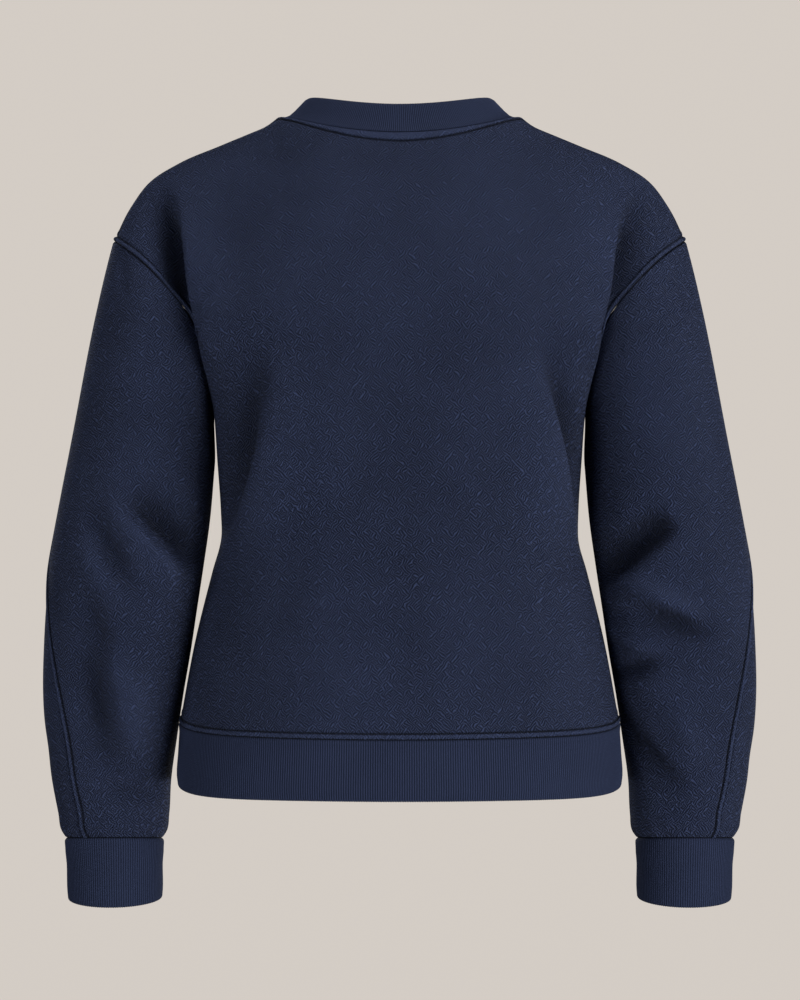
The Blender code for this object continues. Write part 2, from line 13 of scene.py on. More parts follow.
import bpy
import numpy as np
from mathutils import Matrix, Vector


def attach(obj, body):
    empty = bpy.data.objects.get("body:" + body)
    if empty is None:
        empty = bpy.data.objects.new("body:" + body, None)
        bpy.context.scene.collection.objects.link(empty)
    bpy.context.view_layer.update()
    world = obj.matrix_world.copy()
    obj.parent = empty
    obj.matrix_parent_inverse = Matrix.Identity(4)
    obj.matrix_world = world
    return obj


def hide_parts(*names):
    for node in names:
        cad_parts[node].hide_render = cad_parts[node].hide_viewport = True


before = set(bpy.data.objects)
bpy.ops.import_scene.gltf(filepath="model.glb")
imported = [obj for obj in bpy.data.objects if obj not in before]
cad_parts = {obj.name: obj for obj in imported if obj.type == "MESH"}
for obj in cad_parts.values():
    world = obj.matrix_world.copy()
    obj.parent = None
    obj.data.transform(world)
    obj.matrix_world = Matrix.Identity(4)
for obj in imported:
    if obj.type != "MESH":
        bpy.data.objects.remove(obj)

LOG = logging.getLogger("sweatshirt")
Array = np.ndarray
Tree, Node, Socket, Piece = bpy.types.NodeTree, bpy.types.Node, bpy.types.NodeSocket, bpy.types.Object
FLOAT, VECTOR, COLOUR = "NodeSocketFloat", "NodeSocketVector", "NodeSocketColor"
MM = 0.001
TINY = 1e-12
SHARE_SLACK = 1e-6
ROOT = "root"


class Facing(Enum):
    """Which half of the body a piece belongs to, as the sign of its Y side."""

    BACK = 1.0
    FRONT = -1.0

    @property
    def flip(self) -> Array:
        """Factors that take a point from the back to this half."""
        return np.array([1.0, self.value, 1.0])


class Arm(Enum):
    """Which of the wearer's arms a piece covers, as the sign of its X side."""

    LEFT = 1.0
    RIGHT = -1.0

    @property
    def flip(self) -> Array:
        """Factors that take a point from the wearer's left to this side."""
        return np.array([self.value, 1.0, 1.0])


class Look(Enum):
    """The way a crease is drawn, as the unit direction that faces the maker."""

    BACK = (0.0, 1.0, 0.0)
    FRONT = (0.0, -1.0, 0.0)
    LEFT = (1.0, 0.0, 0.0)
    RIGHT = (-1.0, 0.0, 0.0)

    @property
    def axis(self) -> int:
        """Index of the axis that runs across the drawing."""
        return 1 if self in (Look.LEFT, Look.RIGHT) else 0


class Lay(Enum):
    """How a stitch lies on its seam."""

    ACROSS = "across"
    ALONG = "along"


class Cloth(Enum):
    """The record's material slots."""

    FLEECE = "fleece"
    RIB = "rib"


# ---------------------------------------------------------------- the garment's form
NECK_HALF_WIDTH = 104.5
NECK_POINT_HEIGHT = -1.0
NECK_SHARE = 0.42
SHOULDER_BLEND = 120.0
SHOULDER_ROUNDING = 14.0
ROUNDING_FADE = 250.0
SEAM_MARGIN = 3.0
SECTION_LENGTH = 240.0
SECTION_STEPS = 60
SECTION_BATCH = 4096
EDGE_SHARPNESS = 16
ARMHOLE_FACES = 11
ARMHOLE_ROWS = 9
SEAM_REACH = 9.0
CREASE_STEPS = 25
CREASE_TAPER = 1.2
CREASE_FACING = (-0.05, 0.45)
SHOULDER_LINE = ((104.5, -1.0), (156, -22), (194, -38), (220.5, -55.5), (236, -77.5), (250, -108))

# centre depth, centre height, edge across, edge depth, edge height, turn, fall, spread, hold
BACK_ROWS = (
    (64, -22, 250, 0, -108, 0, 62, 0.55, 70),
    (69, -31, 249.4, 11, -108.3, 0, 60, 0.55, 66),
    (79, -47, 242, 29, -113.5, -4, 54, 0.56, 54),
    (91, -72, 222, 47, -129, -14, 42, 0.60, 40),
    (101, -102, 200, 53, -151, -22, 26, 0.68, 24),
    (109, -135, 182, 49, -173, 40, 6, 0.72, 24),
    (114, -170, 170, 41, -200, 108, 0, 0.68, 50),
    (117, -202, 164, 29, -227, 106, 0, 0.66, 60),
    (118, -224, 162.3, 15, -244, 98, 0, 0.66, 69),
    (119, -240, 162, 0, -250, 94, 0, 0.66, 83),
    (120, -292, 159.5, 0, -300, 92, 0, 0.65, 81),
    (120, -340, 157, 0, -345, 90, 0, 0.64, 77),
    (119.5, -366, 156.5, 0, -368, 90, 0, 0.63, 74),
    (119, -396, 164, 0, -396, 90, 0, 0.62, 71),
    (118.5, -458, 179.5, 0, -458, 90, 0, 0.62, 66),
    (117.5, -532, 192.7, 0, -528, 90, 0, 0.62, 62),
)
FRONT_ROWS = (
    (78, -85, 250, 0, -108, 0, 62, 0.50, 70),
    (82, -92, 249.4, 11, -108.4, 0, 60, 0.50, 66),
    (91, -104.5, 241, 27, -115.5, -4, 54, 0.52, 54),
    (103, -123, 218, 42, -136, -10, 40, 0.56, 40),
    (112, -146, 195, 47, -160, -10, 24, 0.62, 26),
    (119, -168, 180, 44, -181, 45, 6, 0.66, 26),
    (124, -190, 170, 37, -203, 100, 0, 0.64, 50),
    (127, -211, 164, 26, -228, 102, 0, 0.64, 60),
    (128.5, -230, 162.3, 14, -244, 97, 0, 0.65, 72),
    (129, -244, 162, 0, -250, 94, 0, 0.65, 86),
    (129, -295, 159.5, 0, -300, 92, 0, 0.64, 84),
    (127, -340, 157, 0, -345, 90, 0, 0.63, 80),
    (126, -366, 156.5, 0, -368, 90, 0, 0.62, 78),
    (124.5, -396, 164, 0, -396, 90, 0, 0.62, 74),
    (122, -458, 179.5, 0, -458, 90, 0, 0.62, 68),
    (118.5, -532, 192.7, 0, -528, 90, 0, 0.62, 62),
)
# height, across, depth, half width, half depth, lean, outer seam's turn
SLEEVE_ROWS = (
    (-296, 226.2, -2, 63.7, 64.5, 8, -6),
    (-345, 232.8, 1, 66.2, 64.5, 7, -6),
    (-385, 238.7, 3, 66.7, 63, 6, -2),
    (-425, 243.8, 2, 65.8, 61, 4, 17),
    (-465, 248.4, -2, 64.3, 59, 2, 33),
    (-505, 252.9, -8, 61.6, 56, 1, 46),
    (-545, 255.4, -15, 57.7, 52, 0, 54),
    (-585, 256.3, -22, 52.5, 48, 0, 56.5),
    (-614, 255, -26, 49.2, 44.5, 0, 58),
    (-630, 255, -28, 46.6, 42, 0, 58),
    (-636.5, 255, -29, 42.5, 38, 0, 58),
)
# share of the way from shoulder to underarm, then the way the sleeve leaves the armhole there
SLEEVE_STARTS = (
    (0, 0.26, 0, -0.96),
    (0.25, 0.38, 0.16, -0.90),
    (0.45, 0.50, 0.42, -0.76),
    (0.60, 0.52, 0.60, -0.60),
    (0.75, 0.42, 0.66, -0.62),
    (0.88, 0.26, 0.50, -0.83),
    (1, 0.14, 0, -0.99),
)
CAP_SHARE = 0.42
UNDERARM_GAP = 0.5
CUFF_TILT = 0.165
CUFF_ACROSS = 255.0
# height, side height, half width, back depth, front depth
HEM_ROWS = (
    (-532, -528, 192.7, 117.5, 118.5),
    (-558, -556, 194.5, 119, 120),
    (-576, -575.5, 195.5, 119.5, 120.5),
    (-583, -583, 194.5, 118.8, 119.8),
)
# height, across, depth, half width, half depth, lean
CUFF_ROWS = (
    (-636.5, 255, -29, 42.5, 38, -9.5),
    (-641, 255, -29.5, 43.4, 38, -8),
    (-660, 255, -31.5, 42.6, 37, -2),
    (-684, 255, -34, 42.4, 36.5, 3.5),
    (-691, 255, -34.5, 41.8, 35.8, 4),
)
# inward, upward, bulge
NECKBAND_ROWS = ((0, 0, 0), (0.28, 0.17, 0), (0.58, 0.50, 0.3), (0.86, 0.88, 0.5), (1, 1, 0.2))


def running_length(points: Array) -> Array:
    """Distance travelled along a list of points, starting at zero."""
    steps = np.linalg.norm(np.diff(np.asarray(points, float), axis=0), axis=1)
    return np.concatenate([[0.0], np.cumsum(steps)])


def blend_weights(t: Array) -> tuple[Array, Array, Array, Array]:
    """Shares of the start, the slope there, the end and the slope there, on the way from 0 to 1."""
    return 2 * t**3 - 3 * t**2 + 1, t**3 - 2 * t**2 + t, 3 * t**2 - 2 * t**3, t**3 - t**2


def smooth_between(stations: Array, values: Array, at: Array) -> Array:
    """Smooth curve through `values` at `stations`.

    Args:
        stations: Increasing positions of the known values.
        values: One row for each station.
        at: Positions wanted.

    Returns:
        One row for each wanted position.
    """
    stations, values, at = (np.asarray(x, float) for x in (stations, values, at))
    slopes = np.gradient(values, stations, axis=0)
    low = np.clip(np.searchsorted(stations, at, side="right") - 1, 0, len(stations) - 2)
    span = (stations[low + 1] - stations[low])[:, None]
    start, rise, end, fall = blend_weights((at[:, None] - stations[low][:, None]) / span)
    leaving = start * values[low] + rise * span * slopes[low]
    return leaving + (end * values[low + 1] + fall * span * slopes[low + 1])


def smooth_step(low: float, high: float, x: Array) -> Array:
    """Soft rise from 0 at `low` to 1 at `high`."""
    t = np.clip((x - low) / (high - low), 0.0, 1.0)
    return t * t * (3 - 2 * t)


def mound(x: Array, width: Array | float, middle: Array | float = 0.0) -> Array:
    """Soft mound that is 1 at `middle` and falls away over `width`."""
    return np.exp(-(((x - middle) / width) ** 2))


def unit(vectors: Array) -> Array:
    """The vectors at length one."""
    return vectors / np.maximum(np.linalg.norm(vectors, axis=-1, keepdims=True), TINY)


def graded_stops(
    length: float, step: float, fine: float, at_start: bool, at_end: bool, growth: float = 0.35
) -> Array:
    """Stops along a length, close together near the ends that carry a seam.

    Args:
        length: Length to divide.
        step: Distance between stops away from the seams.
        fine: Distance between stops beside a seam.
        at_start: Whether the start carries a seam.
        at_end: Whether the end carries a seam.
        growth: How fast the distance between stops grows away from a seam.

    Returns:
        Stops from 0 to the length.
    """
    stops = [0.0]
    while stops[-1] < length:
        place = stops[-1]
        reach = min(place if at_start else length, length - place if at_end else length)
        stops.append(place + min(fine + max(reach - SEAM_REACH, 0.0) * growth, step))
    return np.array(stops) * length / stops[-1]


def section_points(rows: Array, share: Array) -> Array:
    """Points of body sections, each at a share of its length.

    Args:
        rows: Rows like those of `BACK_ROWS`, one for each point.
        share: Place of each point along its section, from the centre line (0) to the edge (1).

    Returns:
        One point for each row.
    """
    turn, fall, flat = np.radians(rows[:, 5]), np.radians(rows[:, 6]), np.zeros(len(rows))
    heading = np.column_stack([np.cos(turn) * np.cos(fall), -np.sin(turn) * np.cos(fall), -np.sin(fall)])
    centre = np.column_stack([flat, rows[:, 0], rows[:, 1]])
    edge = rows[:, 2:5]
    centre_grip = centre + np.column_stack([rows[:, 7] * rows[:, 2], flat, flat])
    grips = np.stack([centre, centre_grip, edge - heading * rows[:, 8:9], edge], axis=1)
    t = np.linspace(0.0, 1.0, SECTION_STEPS)
    weights = np.column_stack([(1 - t) ** 3, 3 * (1 - t) ** 2 * t, 3 * (1 - t) * t**2, t**3])
    found = np.empty((len(rows), 3))
    for first in range(0, len(rows), SECTION_BATCH):
        part = slice(first, first + SECTION_BATCH)
        curve = np.einsum("tk,nkd->ntd", weights, grips[part])
        lengths = np.cumsum(np.linalg.norm(np.diff(curve, axis=1), axis=2), axis=1)
        lengths = np.concatenate([np.zeros((len(lengths), 1)), lengths], axis=1)
        wanted = share[part] * lengths[:, -1]
        low = np.clip((lengths <= wanted[:, None]).sum(axis=1) - 1, 0, SECTION_STEPS - 2)
        row = np.arange(len(low))
        step = (wanted - lengths[row, low]) / (lengths[row, low + 1] - lengths[row, low])
        found[part] = curve[row, low] + (curve[row, low + 1] - curve[row, low]) * step[:, None]
    return found


@dataclass
class BodyForm:
    """One half of the front or the back, as points of its outer face on the wearer's left."""

    facing: Facing
    rows: Sequence[Sequence[float]]
    neck_depth: float
    neck_drop: float
    neck_roundness: float

    def __post_init__(self) -> None:
        """Work out the lengths down the edge."""
        self.table = np.array(self.rows)
        self.stations = running_length(self.table[:, 2:5])
        self.underarm = float(self.stations[ARMHOLE_ROWS])
        self.hem = float(self.stations[-1])

    def neck(self, share: Array) -> Array:
        """Points of the neck seam.

        Args:
            share: Places from the centre (0) to the neck point (1).

        Returns:
            One point for each place.
        """
        angle = share * math.pi / 2
        height = NECK_POINT_HEIGHT - self.neck_drop * (1 - np.sin(angle) ** self.neck_roundness)
        return np.column_stack([NECK_HALF_WIDTH * np.sin(angle), self.neck_depth * np.cos(angle), height])

    def top_edge(self, share: Array) -> Array:
        """Points of the neck seam and then of the top of the shoulder.

        Args:
            share: Places from the centre line (0) to the edge (1).

        Returns:
            One point for each place.
        """
        line = np.array(SHOULDER_LINE)
        line = np.column_stack([line[:, 0], np.zeros(len(line)), line[:, 1]])
        lengths = running_length(line)
        along = np.clip((share - NECK_SHARE) / (1 - NECK_SHARE), 0.0, 1.0)
        shoulder = smooth_between(lengths, line, along * lengths[-1])
        neck = self.neck(np.minimum(share / NECK_SHARE, 1.0))
        return np.where((share <= NECK_SHARE)[:, None], neck, shoulder)

    def edge(self, station: Array) -> Array:
        """Points of the armhole and, below the underarm, of the side seam.

        Args:
            station: Lengths down the edge from the top of the shoulder.

        Returns:
            One point for each place.
        """
        upper, lower = slice(0, ARMHOLE_ROWS + 1), slice(ARMHOLE_ROWS, None)
        above = smooth_between(self.stations[upper], self.table[upper, 2:5], station)
        below = smooth_between(self.stations[lower], self.table[lower, 2:5], station)
        return np.where((station <= self.underarm)[:, None], above, below)

    def section(self, share: Array, station: Array) -> Array:
        """Points of the smooth sections, before the upper edge shapes them.

        Args:
            share: Places from the centre line (0) to the edge (1).
            station: Lengths down the edge from the top of the shoulder.

        Returns:
            One point for each place.
        """
        rows = smooth_between(self.stations, self.table, station)
        rows[:, 2:5] = self.edge(station)
        return section_points(rows, share)

    def point(self, share: Array, station: Array) -> Array:
        """Points of the outer face.

        Args:
            share: Places from the centre line (0) to the edge (1).
            station: Lengths down the edge from the top of the shoulder.

        Returns:
            One point for each place.
        """
        lift = self.top_edge(share) - self.section(share, np.zeros(len(share)))
        reach = np.minimum(station / SHOULDER_BLEND, 1.0)
        ridge = np.minimum(share / NECK_SHARE, 1.0)
        sideways = (1 - reach) ** 2
        upward = (1 - reach ** (1 + ridge)) ** 2
        past_seam = np.maximum(station - SEAM_MARGIN, 0.0)
        rounded = past_seam**3 / (past_seam**2 + SHOULDER_ROUNDING**2)
        fade = 1 - np.clip((station - ROUNDING_FADE) / (self.hem - ROUNDING_FADE), 0.0, 1.0)
        roundness = ridge * fade * (1 - share**EDGE_SHARPNESS)
        place = self.section(share, station + (rounded - station) * roundness)
        place[:, 1] = self.section(share, station)[:, 1]
        place += lift * np.column_stack([sideways, sideways, upward])
        return place * self.facing.flip

    def armhole(self, around: Array) -> Array:
        """Points of the armhole, from the tip of the shoulder (0) to the underarm (1)."""
        return self.edge(around * self.underarm) * self.facing.flip


FORMS = {
    Facing.BACK: BodyForm(Facing.BACK, BACK_ROWS, 64.0, 21.0, 2.0),
    Facing.FRONT: BodyForm(Facing.FRONT, FRONT_ROWS, 78.0, 84.0, 3.2),
}
SEAM_TIP = FORMS[Facing.BACK].underarm / ARMHOLE_FACES


def body_points(facing: Facing, share: Array, station: Array) -> Array:
    """Points of the body, beyond the top of the shoulder too, where the station is negative.

    Args:
        facing: The front or the back.
        share: Places from the centre line (0) to the edge (1).
        station: Lengths down the edge from the top of the shoulder.

    Returns:
        One point for each place.
    """
    other = Facing.FRONT if facing is Facing.BACK else Facing.BACK
    found = FORMS[facing].point(share, np.abs(station))
    beyond = station < 0
    if beyond.any():
        found[beyond] = FORMS[other].point(share[beyond], -station[beyond])
    return found


# ---------------------------------------------------------------- sheets of points
@dataclass
class Grid:
    """A sheet of cloth as rows and columns of points, in millimetres."""

    points: Array
    outward: float
    closed: bool = False
    relief: Array | float = 0.0

    def normals(self) -> Array:
        """Outward directions at the points.

        Returns:
            One direction for each point.
        """
        down = np.gradient(self.points, axis=0)
        if self.closed:
            over = np.roll(self.points, -1, axis=1) - np.roll(self.points, 1, axis=1)
        else:
            over = np.gradient(self.points, axis=1)
        return unit(np.cross(down, over) * self.outward)

    def swell(self, height: Array) -> None:
        """Move the points along their outward directions.

        Args:
            height: How far, for each point; negative is inward.
        """
        self.points = self.points + self.normals() * height[..., None]

    def fold(self, creases: "Sequence[Crease]", hold: Array) -> None:
        """Crease the sheet, and keep how far each point is raised as its relief.

        Args:
            creases: The creases.
            hold: How far each point gives way, from 0 to 1.
        """
        normals = self.normals()
        moved = sum(crease.offset(self.points, normals) for crease in creases) * hold[..., None]
        self.points = self.points + moved
        self.relief = np.einsum("rcd,rcd->rc", moved, normals)

    def distance(self, line: Array) -> Array:
        """Distance of each point from a line.

        Args:
            line: Points of the line.

        Returns:
            One distance for each point.
        """
        best = np.full(self.points.shape[:2], np.inf)
        for start, end in zip(line[:-1], line[1:]):
            step = end - start
            t = np.clip((self.points - start) @ step / max(step @ step, TINY), 0.0, 1.0)
            best = np.minimum(best, np.linalg.norm(self.points - start - t[..., None] * step, axis=-1))
        return best

    def turned_in(self, depth: float = 3.0, reach: float = 0.9) -> "Grid":
        """The sheet with its four edges turned in for the seams.

        Args:
            depth: How far the turned edge goes inwards.
            reach: How far it goes on past the seam.

        Returns:
            A sheet with one more row or column at each edge.
        """
        inward = self.normals() * depth
        points = self.points
        for axis in (0, 1):
            points, inward = points.swapaxes(0, axis), inward.swapaxes(0, axis)
            ends = ((0, 1), (-1, -2))
            edges = [points[k] + unit(points[k] - points[next_]) * reach - inward[k] for k, next_ in ends]
            points = np.concatenate([edges[:1], points, edges[1:]])
            inward = np.concatenate([inward[:1] * 0, inward, inward[-1:] * 0])
            points, inward = points.swapaxes(0, axis), inward.swapaxes(0, axis)
        return Grid(points, self.outward)

    def faces(self) -> Array:
        """Corners of the faces, turned so that they look outwards.

        Returns:
            One row of four corners for each face.
        """
        rows, columns = self.points.shape[:2]
        index = np.arange(rows * columns).reshape(rows, columns)
        if self.closed:
            index = np.concatenate([index, index[:, :1]], axis=1)
        corners = [index[:-1, :-1], index[1:, :-1], index[1:, 1:], index[:-1, 1:]]
        quads = np.stack(corners, axis=-1).reshape(-1, 4)
        return quads if self.outward > 0 else quads[:, ::-1]


def piece_from(name: str, points: Array, faces: Array, values: dict[str, Array]) -> Piece:
    """Make an object from points in millimetres.

    Args:
        name: Name of the object.
        points: One row for each point.
        faces: Corners of the faces.
        values: Numbers or directions kept at the points, by name.

    Returns:
        The object, linked to the scene.
    """
    mesh = bpy.data.meshes.new(name)
    mesh.from_pydata((points * MM).tolist(), [], faces.tolist())
    for key, value in values.items():
        kind = "FLOAT_VECTOR" if value.ndim == 2 else "FLOAT"
        attribute = mesh.attributes.new(key, kind, "POINT")
        attribute.data.foreach_set("vector" if value.ndim == 2 else "value", value.astype(np.float32).ravel())
    mesh.shade_smooth()
    made = bpy.data.objects.new(name, mesh)
    bpy.context.scene.collection.objects.link(made)
    return made


# ---------------------------------------------------------------- creases
@dataclass(frozen=True)
class Crease:
    """A soft trough (negative depth) or ridge along a path drawn square on to one side.

    `toward_minus` and `toward_plus` are its widths on the two sides of the path, towards the lower
    and the higher numbers of the drawing's sideways axis.  `skew` above 1 makes it deepest late,
    and `lean` pushes it sideways, so that it hangs over what is beside it.
    """

    look: Look
    path: tuple[tuple[float, float], ...]
    depth: float
    toward_minus: float
    toward_plus: float
    skew: float = 1.0
    lean: float = 0.0

    def mirrored(self, depth: float | None = None) -> "Crease":
        """The same crease on the other side of the body.

        Args:
            depth: Its depth there, if that differs.

        Returns:
            The copy.
        """
        look = {Look.LEFT: Look.RIGHT, Look.RIGHT: Look.LEFT}.get(self.look, self.look)
        flip = -1.0 if look.axis == 0 else 1.0
        path = tuple((across * flip, height) for across, height in self.path)
        sides = (self.toward_minus, self.toward_plus)[:: int(flip)]
        return Crease(look, path, self.depth if depth is None else depth, *sides, self.skew, self.lean * flip)

    def offset(self, points: Array, normals: Array) -> Array:
        """How the crease moves each point.

        Args:
            points: The points of a sheet.
            normals: Their outward directions.

        Returns:
            One move for each point.
        """
        known = np.array(self.path)
        lengths = running_length(known)
        line = smooth_between(lengths, known, np.linspace(0.0, lengths[-1], CREASE_STEPS))
        seen = points[..., [self.look.axis, 2]]
        best = np.full(seen.shape[:2], np.inf)
        along, side = np.zeros_like(best), np.zeros_like(best)
        for index, (start, end) in enumerate(zip(line[:-1], line[1:])):
            step = end - start
            offset = seen - start
            t = np.clip(offset @ step / (step @ step), 0.0, 1.0)
            away = offset - t[..., None] * step
            near = np.linalg.norm(away, axis=-1)
            closer = near < best
            best = np.where(closer, near, best)
            along = np.where(closer, (index + t) / (len(line) - 1), along)
            side = np.where(closer, away[..., 0], side)
        width = np.where(side > 0, self.toward_plus, self.toward_minus)
        taper = np.sin(math.pi * along**self.skew) ** CREASE_TAPER
        facing = smooth_step(*CREASE_FACING, normals @ np.array(self.look.value))
        strength = taper * facing * mound(best, width)
        sideways = np.zeros(3)
        sideways[self.look.axis] = self.lean
        return strength[..., None] * (normals * self.depth + sideways)


def drawn(look: Look, *sizes: Sequence[Any]) -> list[Crease]:
    """Creases drawn square on to one side, each from its path, depth, widths, skew and lean."""
    return [Crease(look, *each) for each in sizes]


def both_sides(creases: Sequence[Crease]) -> list[Crease]:
    """The creases with their copies on the other side of the body."""
    return [made for crease in creases for made in (crease, crease.mirrored())]


UNDERARM_VALLEY, UNDERARM_ROLL = drawn(
    Look.BACK,
    (((206, -60), (199, -94), (191, -126), (185, -156), (178, -205)), -26, 7, 15, 1.1, -2.5),
    (((192, -66), (182, -99), (174, -130), (169, -165), (160, -215)), 8, 26, 4.5, 1.1, 6),
)
BODY_CREASES = [
    UNDERARM_VALLEY,
    UNDERARM_VALLEY.mirrored(-13),
    UNDERARM_ROLL,
    UNDERARM_ROLL.mirrored(6.5),
    *drawn(
        Look.BACK,
        (((152, -396), (131, -345), (115, -305), (103, -252), (96, -200)), 8, 34, 10, 0.8),
        (((148, -372), (136, -318), (126, -262), (118, -200)), -11, 9, 16, 0.9),
        (((110, -470), (92, -400), (76, -330)), -1.8, 20, 16),
        (((-150, -388), (-137, -318), (-121, -252), (-102, -206)), 9, 9, 30, 0.9),
        (((-154, -360), (-149, -305), (-138, -252), (-120, -200)), -12, 12, 8),
        (((0, -470), (4, -350), (2, -230), (-4, -130)), -2.6, 46, 46),
        (((62, -420), (58, -330), (56, -240), (60, -150)), 1.6, 20, 20),
    ),
    *both_sides(
        drawn(
            Look.FRONT,
            (((203, -86), (193, -120), (184, -152), (175, -190)), -6, 5, 10),
            (((192, -92), (181, -128), (174, -170)), 3, 12, 6),
            (((176, -196), (150, -182), (118, -176)), -2.6, 9, 9, 0.8),
            (((168, -214), (146, -220), (112, -232)), -3.2, 10, 10, 0.8),
        )
    ),
    *drawn(
        Look.FRONT,
        (((146, -388), (126, -345), (110, -296)), 2.4, 15, 12),
        (((-158, -366), (-128, -350), (-86, -352)), -2.6, 12, 12),
        (((-150, -430), (-118, -398), (-84, -384)), -2.2, 13, 13),
        (((152, -452), (120, -420), (92, -410)), -2.4, 13, 13),
        (((70, -500), (48, -440), (40, -380)), 1.8, 18, 16),
    ),
]
SLEEVE_CREASES = {
    Arm.LEFT: [
        *drawn(
            Look.BACK,
            (((234, -334), (214, -346), (194, -364), (172, -396)), -18, 17, 8, 0.9),
            (((256, -326), (239, -346), (218, -372), (186, -406)), 12, 8, 12, 1.2, -3),
            (((268, -340), (250, -368), (235, -392), (216, -414)), -10, 8, 9),
            (((276, -356), (262, -388), (242, -416), (216, -436)), 5.5, 12, 13),
            (((272, -408), (260, -440), (242, -476)), -7.5, 11, 11),
            (((268, -440), (262, -500), (254, -546), (232, -580)), -11, 11, 13),
            (((247, -440), (238, -500), (230, -546), (214, -580)), 11, 20, 9),
            (((258, -580), (236, -589), (208, -592)), -5, 6, 6),
            (((239, -116), (238, -138), (236, -164)), -1.8, 5, 4),
        ),
        *drawn(
            Look.FRONT,
            (((192, -352), (214, -368), (242, -376)), -5, 12, 12, 0.8),
            (((190, -392), (216, -398), (250, -392)), -4.5, 10, 10, 0.8),
            (((196, -432), (222, -428), (252, -416)), -3.6, 10, 10, 0.8),
            (((216, -560), (240, -574), (270, -578)), -3.4, 11, 11),
            (((222, -596), (248, -604), (276, -598)), -2.6, 8, 8),
        ),
        *drawn(
            Look.LEFT,
            (((-48, -540), (-20, -552), (14, -548)), -1.3, 18, 18),
            (((-52, -396), (-30, -384), (0, -380)), -1.4, 16, 16),
        ),
    ],
    Arm.RIGHT: [
        *drawn(
            Look.BACK,
            (((-232, -350), (-208, -368), (-186, -388), (-160, -414)), -24, 10, 17, 0.7),
            (((-178, -396), (-204, -408), (-232, -420), (-266, -446)), 9.5, 7, 9, 1.1),
            (((-186, -422), (-212, -433), (-240, -441), (-272, -450)), -15, 8, 8, 1.2),
            (((-174, -438), (-198, -453), (-230, -470)), 7, 8, 8),
            (((-172, -486), (-200, -479), (-230, -464)), -7.5, 8, 8),
            (((-186, -514), (-206, -548), (-230, -572), (-254, -592)), -9, 9, 10),
            (((-230, -506), (-248, -536), (-262, -566)), 5, 12, 10),
            (((-218, -594), (-238, -602), (-254, -606)), -2, 6, 6),
            (((-240, -116), (-239, -138), (-237, -158)), -1.6, 5, 5),
        ),
        *drawn(
            Look.FRONT,
            (((-190, -344), (-212, -360), (-240, -372)), -4.6, 12, 12, 0.8),
            (((-190, -382), (-214, -394), (-248, -396)), -5, 10, 10, 0.8),
            (((-194, -424), (-218, -426), (-250, -420)), -3.6, 10, 10, 0.8),
            (((-214, -548), (-240, -562), (-272, -566)), -3, 11, 11),
            (((-220, -588), (-246, -598), (-276, -600)), -2.8, 8, 8),
        ),
        *drawn(
            Look.RIGHT,
            (((-46, -548), (-18, -558), (14, -558)), -1.3, 18, 18),
            (((-52, -408), (-28, -396), (4, -392)), -1.4, 16, 16),
        ),
    ],
}


# ---------------------------------------------------------------- seams and stitches
STITCH_GROOVE_WIDTH = 0.8
ROLL_SHARE, ROLL_PLACE, ROLL_WIDTH = 0.3, 3.2, 2.2
STRIP_EDGE = (0.7, 1.5)
# painted shade per millimetre that a crease sinks, with its limits: painted highlight on ridges, painted
# shade in hollows
FOLD_SHADE_PER_MM = 0.045
PALEST_RIDGE, DEEPEST_HOLLOW = -0.5, 0.55
DEEPEST = -0.9
NECK_STRIP = 5.0
NECK_STRIP_CENTRE = 4.5
ARMHOLE_STRIP = 4.6
SLEEVE_STRIP = 4.8
HEM_STRIP = 5.0
HEM_DIP, HEM_DIP_SKEW = 3.6, 2.5


@dataclass(frozen=True)
class SeamShape:
    """How the cloth lies beside a seam: a groove, a padded strip over the allowance, a second groove.

    `shadow` is how far from a groove the painted shade in it reaches.
    """

    groove: float = 0.9
    groove_width: float = 1.3
    rise: float = 0.0
    stitch_groove: float = 0.0
    shadow: float = 0.8

    def height(self, distance: Array, strip: Array | float = 1.0) -> Array:
        """How far the cloth stands proud.

        Args:
            distance: Distance from the seam.
            strip: Width of the padded strip.

        Returns:
            One height for each distance.
        """
        made = -self.groove * mound(distance, self.groove_width)
        middle = np.clip(1.0 - ((distance - strip / 2) / (strip / 2)) ** 2, 0.0, 1.0)
        made = made + self.rise * np.sqrt(middle)
        made = made - self.stitch_groove * mound(distance - strip, STITCH_GROOVE_WIDTH)
        return made + ROLL_SHARE * self.rise * mound(distance - strip, ROLL_WIDTH, ROLL_PLACE)

    def crevice(self, distance: Array, strip: Array | float = 1.0) -> Array:
        """Painted shade in the grooves: how deep in a groove each point lies.

        Args:
            distance: Distance from the seam.
            strip: Width of the padded strip.

        Returns:
            The painted shade, a share from 0 to 1 for each distance.
        """
        deep = mound(distance, self.shadow)
        if self.stitch_groove:
            deep = np.maximum(deep, mound(distance - strip, self.shadow))
        return deep

    def highlight_and_wear(self, distance: Array, strip: Array | float = 1.0) -> Array:
        """How much paler the padded strip beside the seam is painted: a painted highlight on the raised
        strip, with its paler pressed nap.

        Args:
            distance: Distance from the seam.
            strip: Width of the padded strip.

        Returns:
            A share from 0 to 1 for each distance.
        """
        if not self.stitch_groove:
            return np.zeros_like(distance)
        low, high = STRIP_EDGE
        return smooth_step(low, high, distance) * (1 - smooth_step(strip - high, strip - low, distance))


SeamList = Sequence[tuple[SeamShape, Array, Array | float]]
PLAIN_SEAM = SeamShape(groove=0.7, groove_width=0.9)
SHOULDER_SEAM = SeamShape(groove=1.0, groove_width=1.6, shadow=1.8)
NECK_SEAM = SeamShape(groove=0.9, groove_width=0.8, rise=1.6, stitch_groove=0.9)
STRIP_SEAM = SeamShape(groove=0.7, groove_width=0.8, rise=1.7, stitch_groove=0.8, shadow=0.7)
HEM_SEAM = SeamShape(groove=0.7, groove_width=0.8, rise=1.4, stitch_groove=0.8)


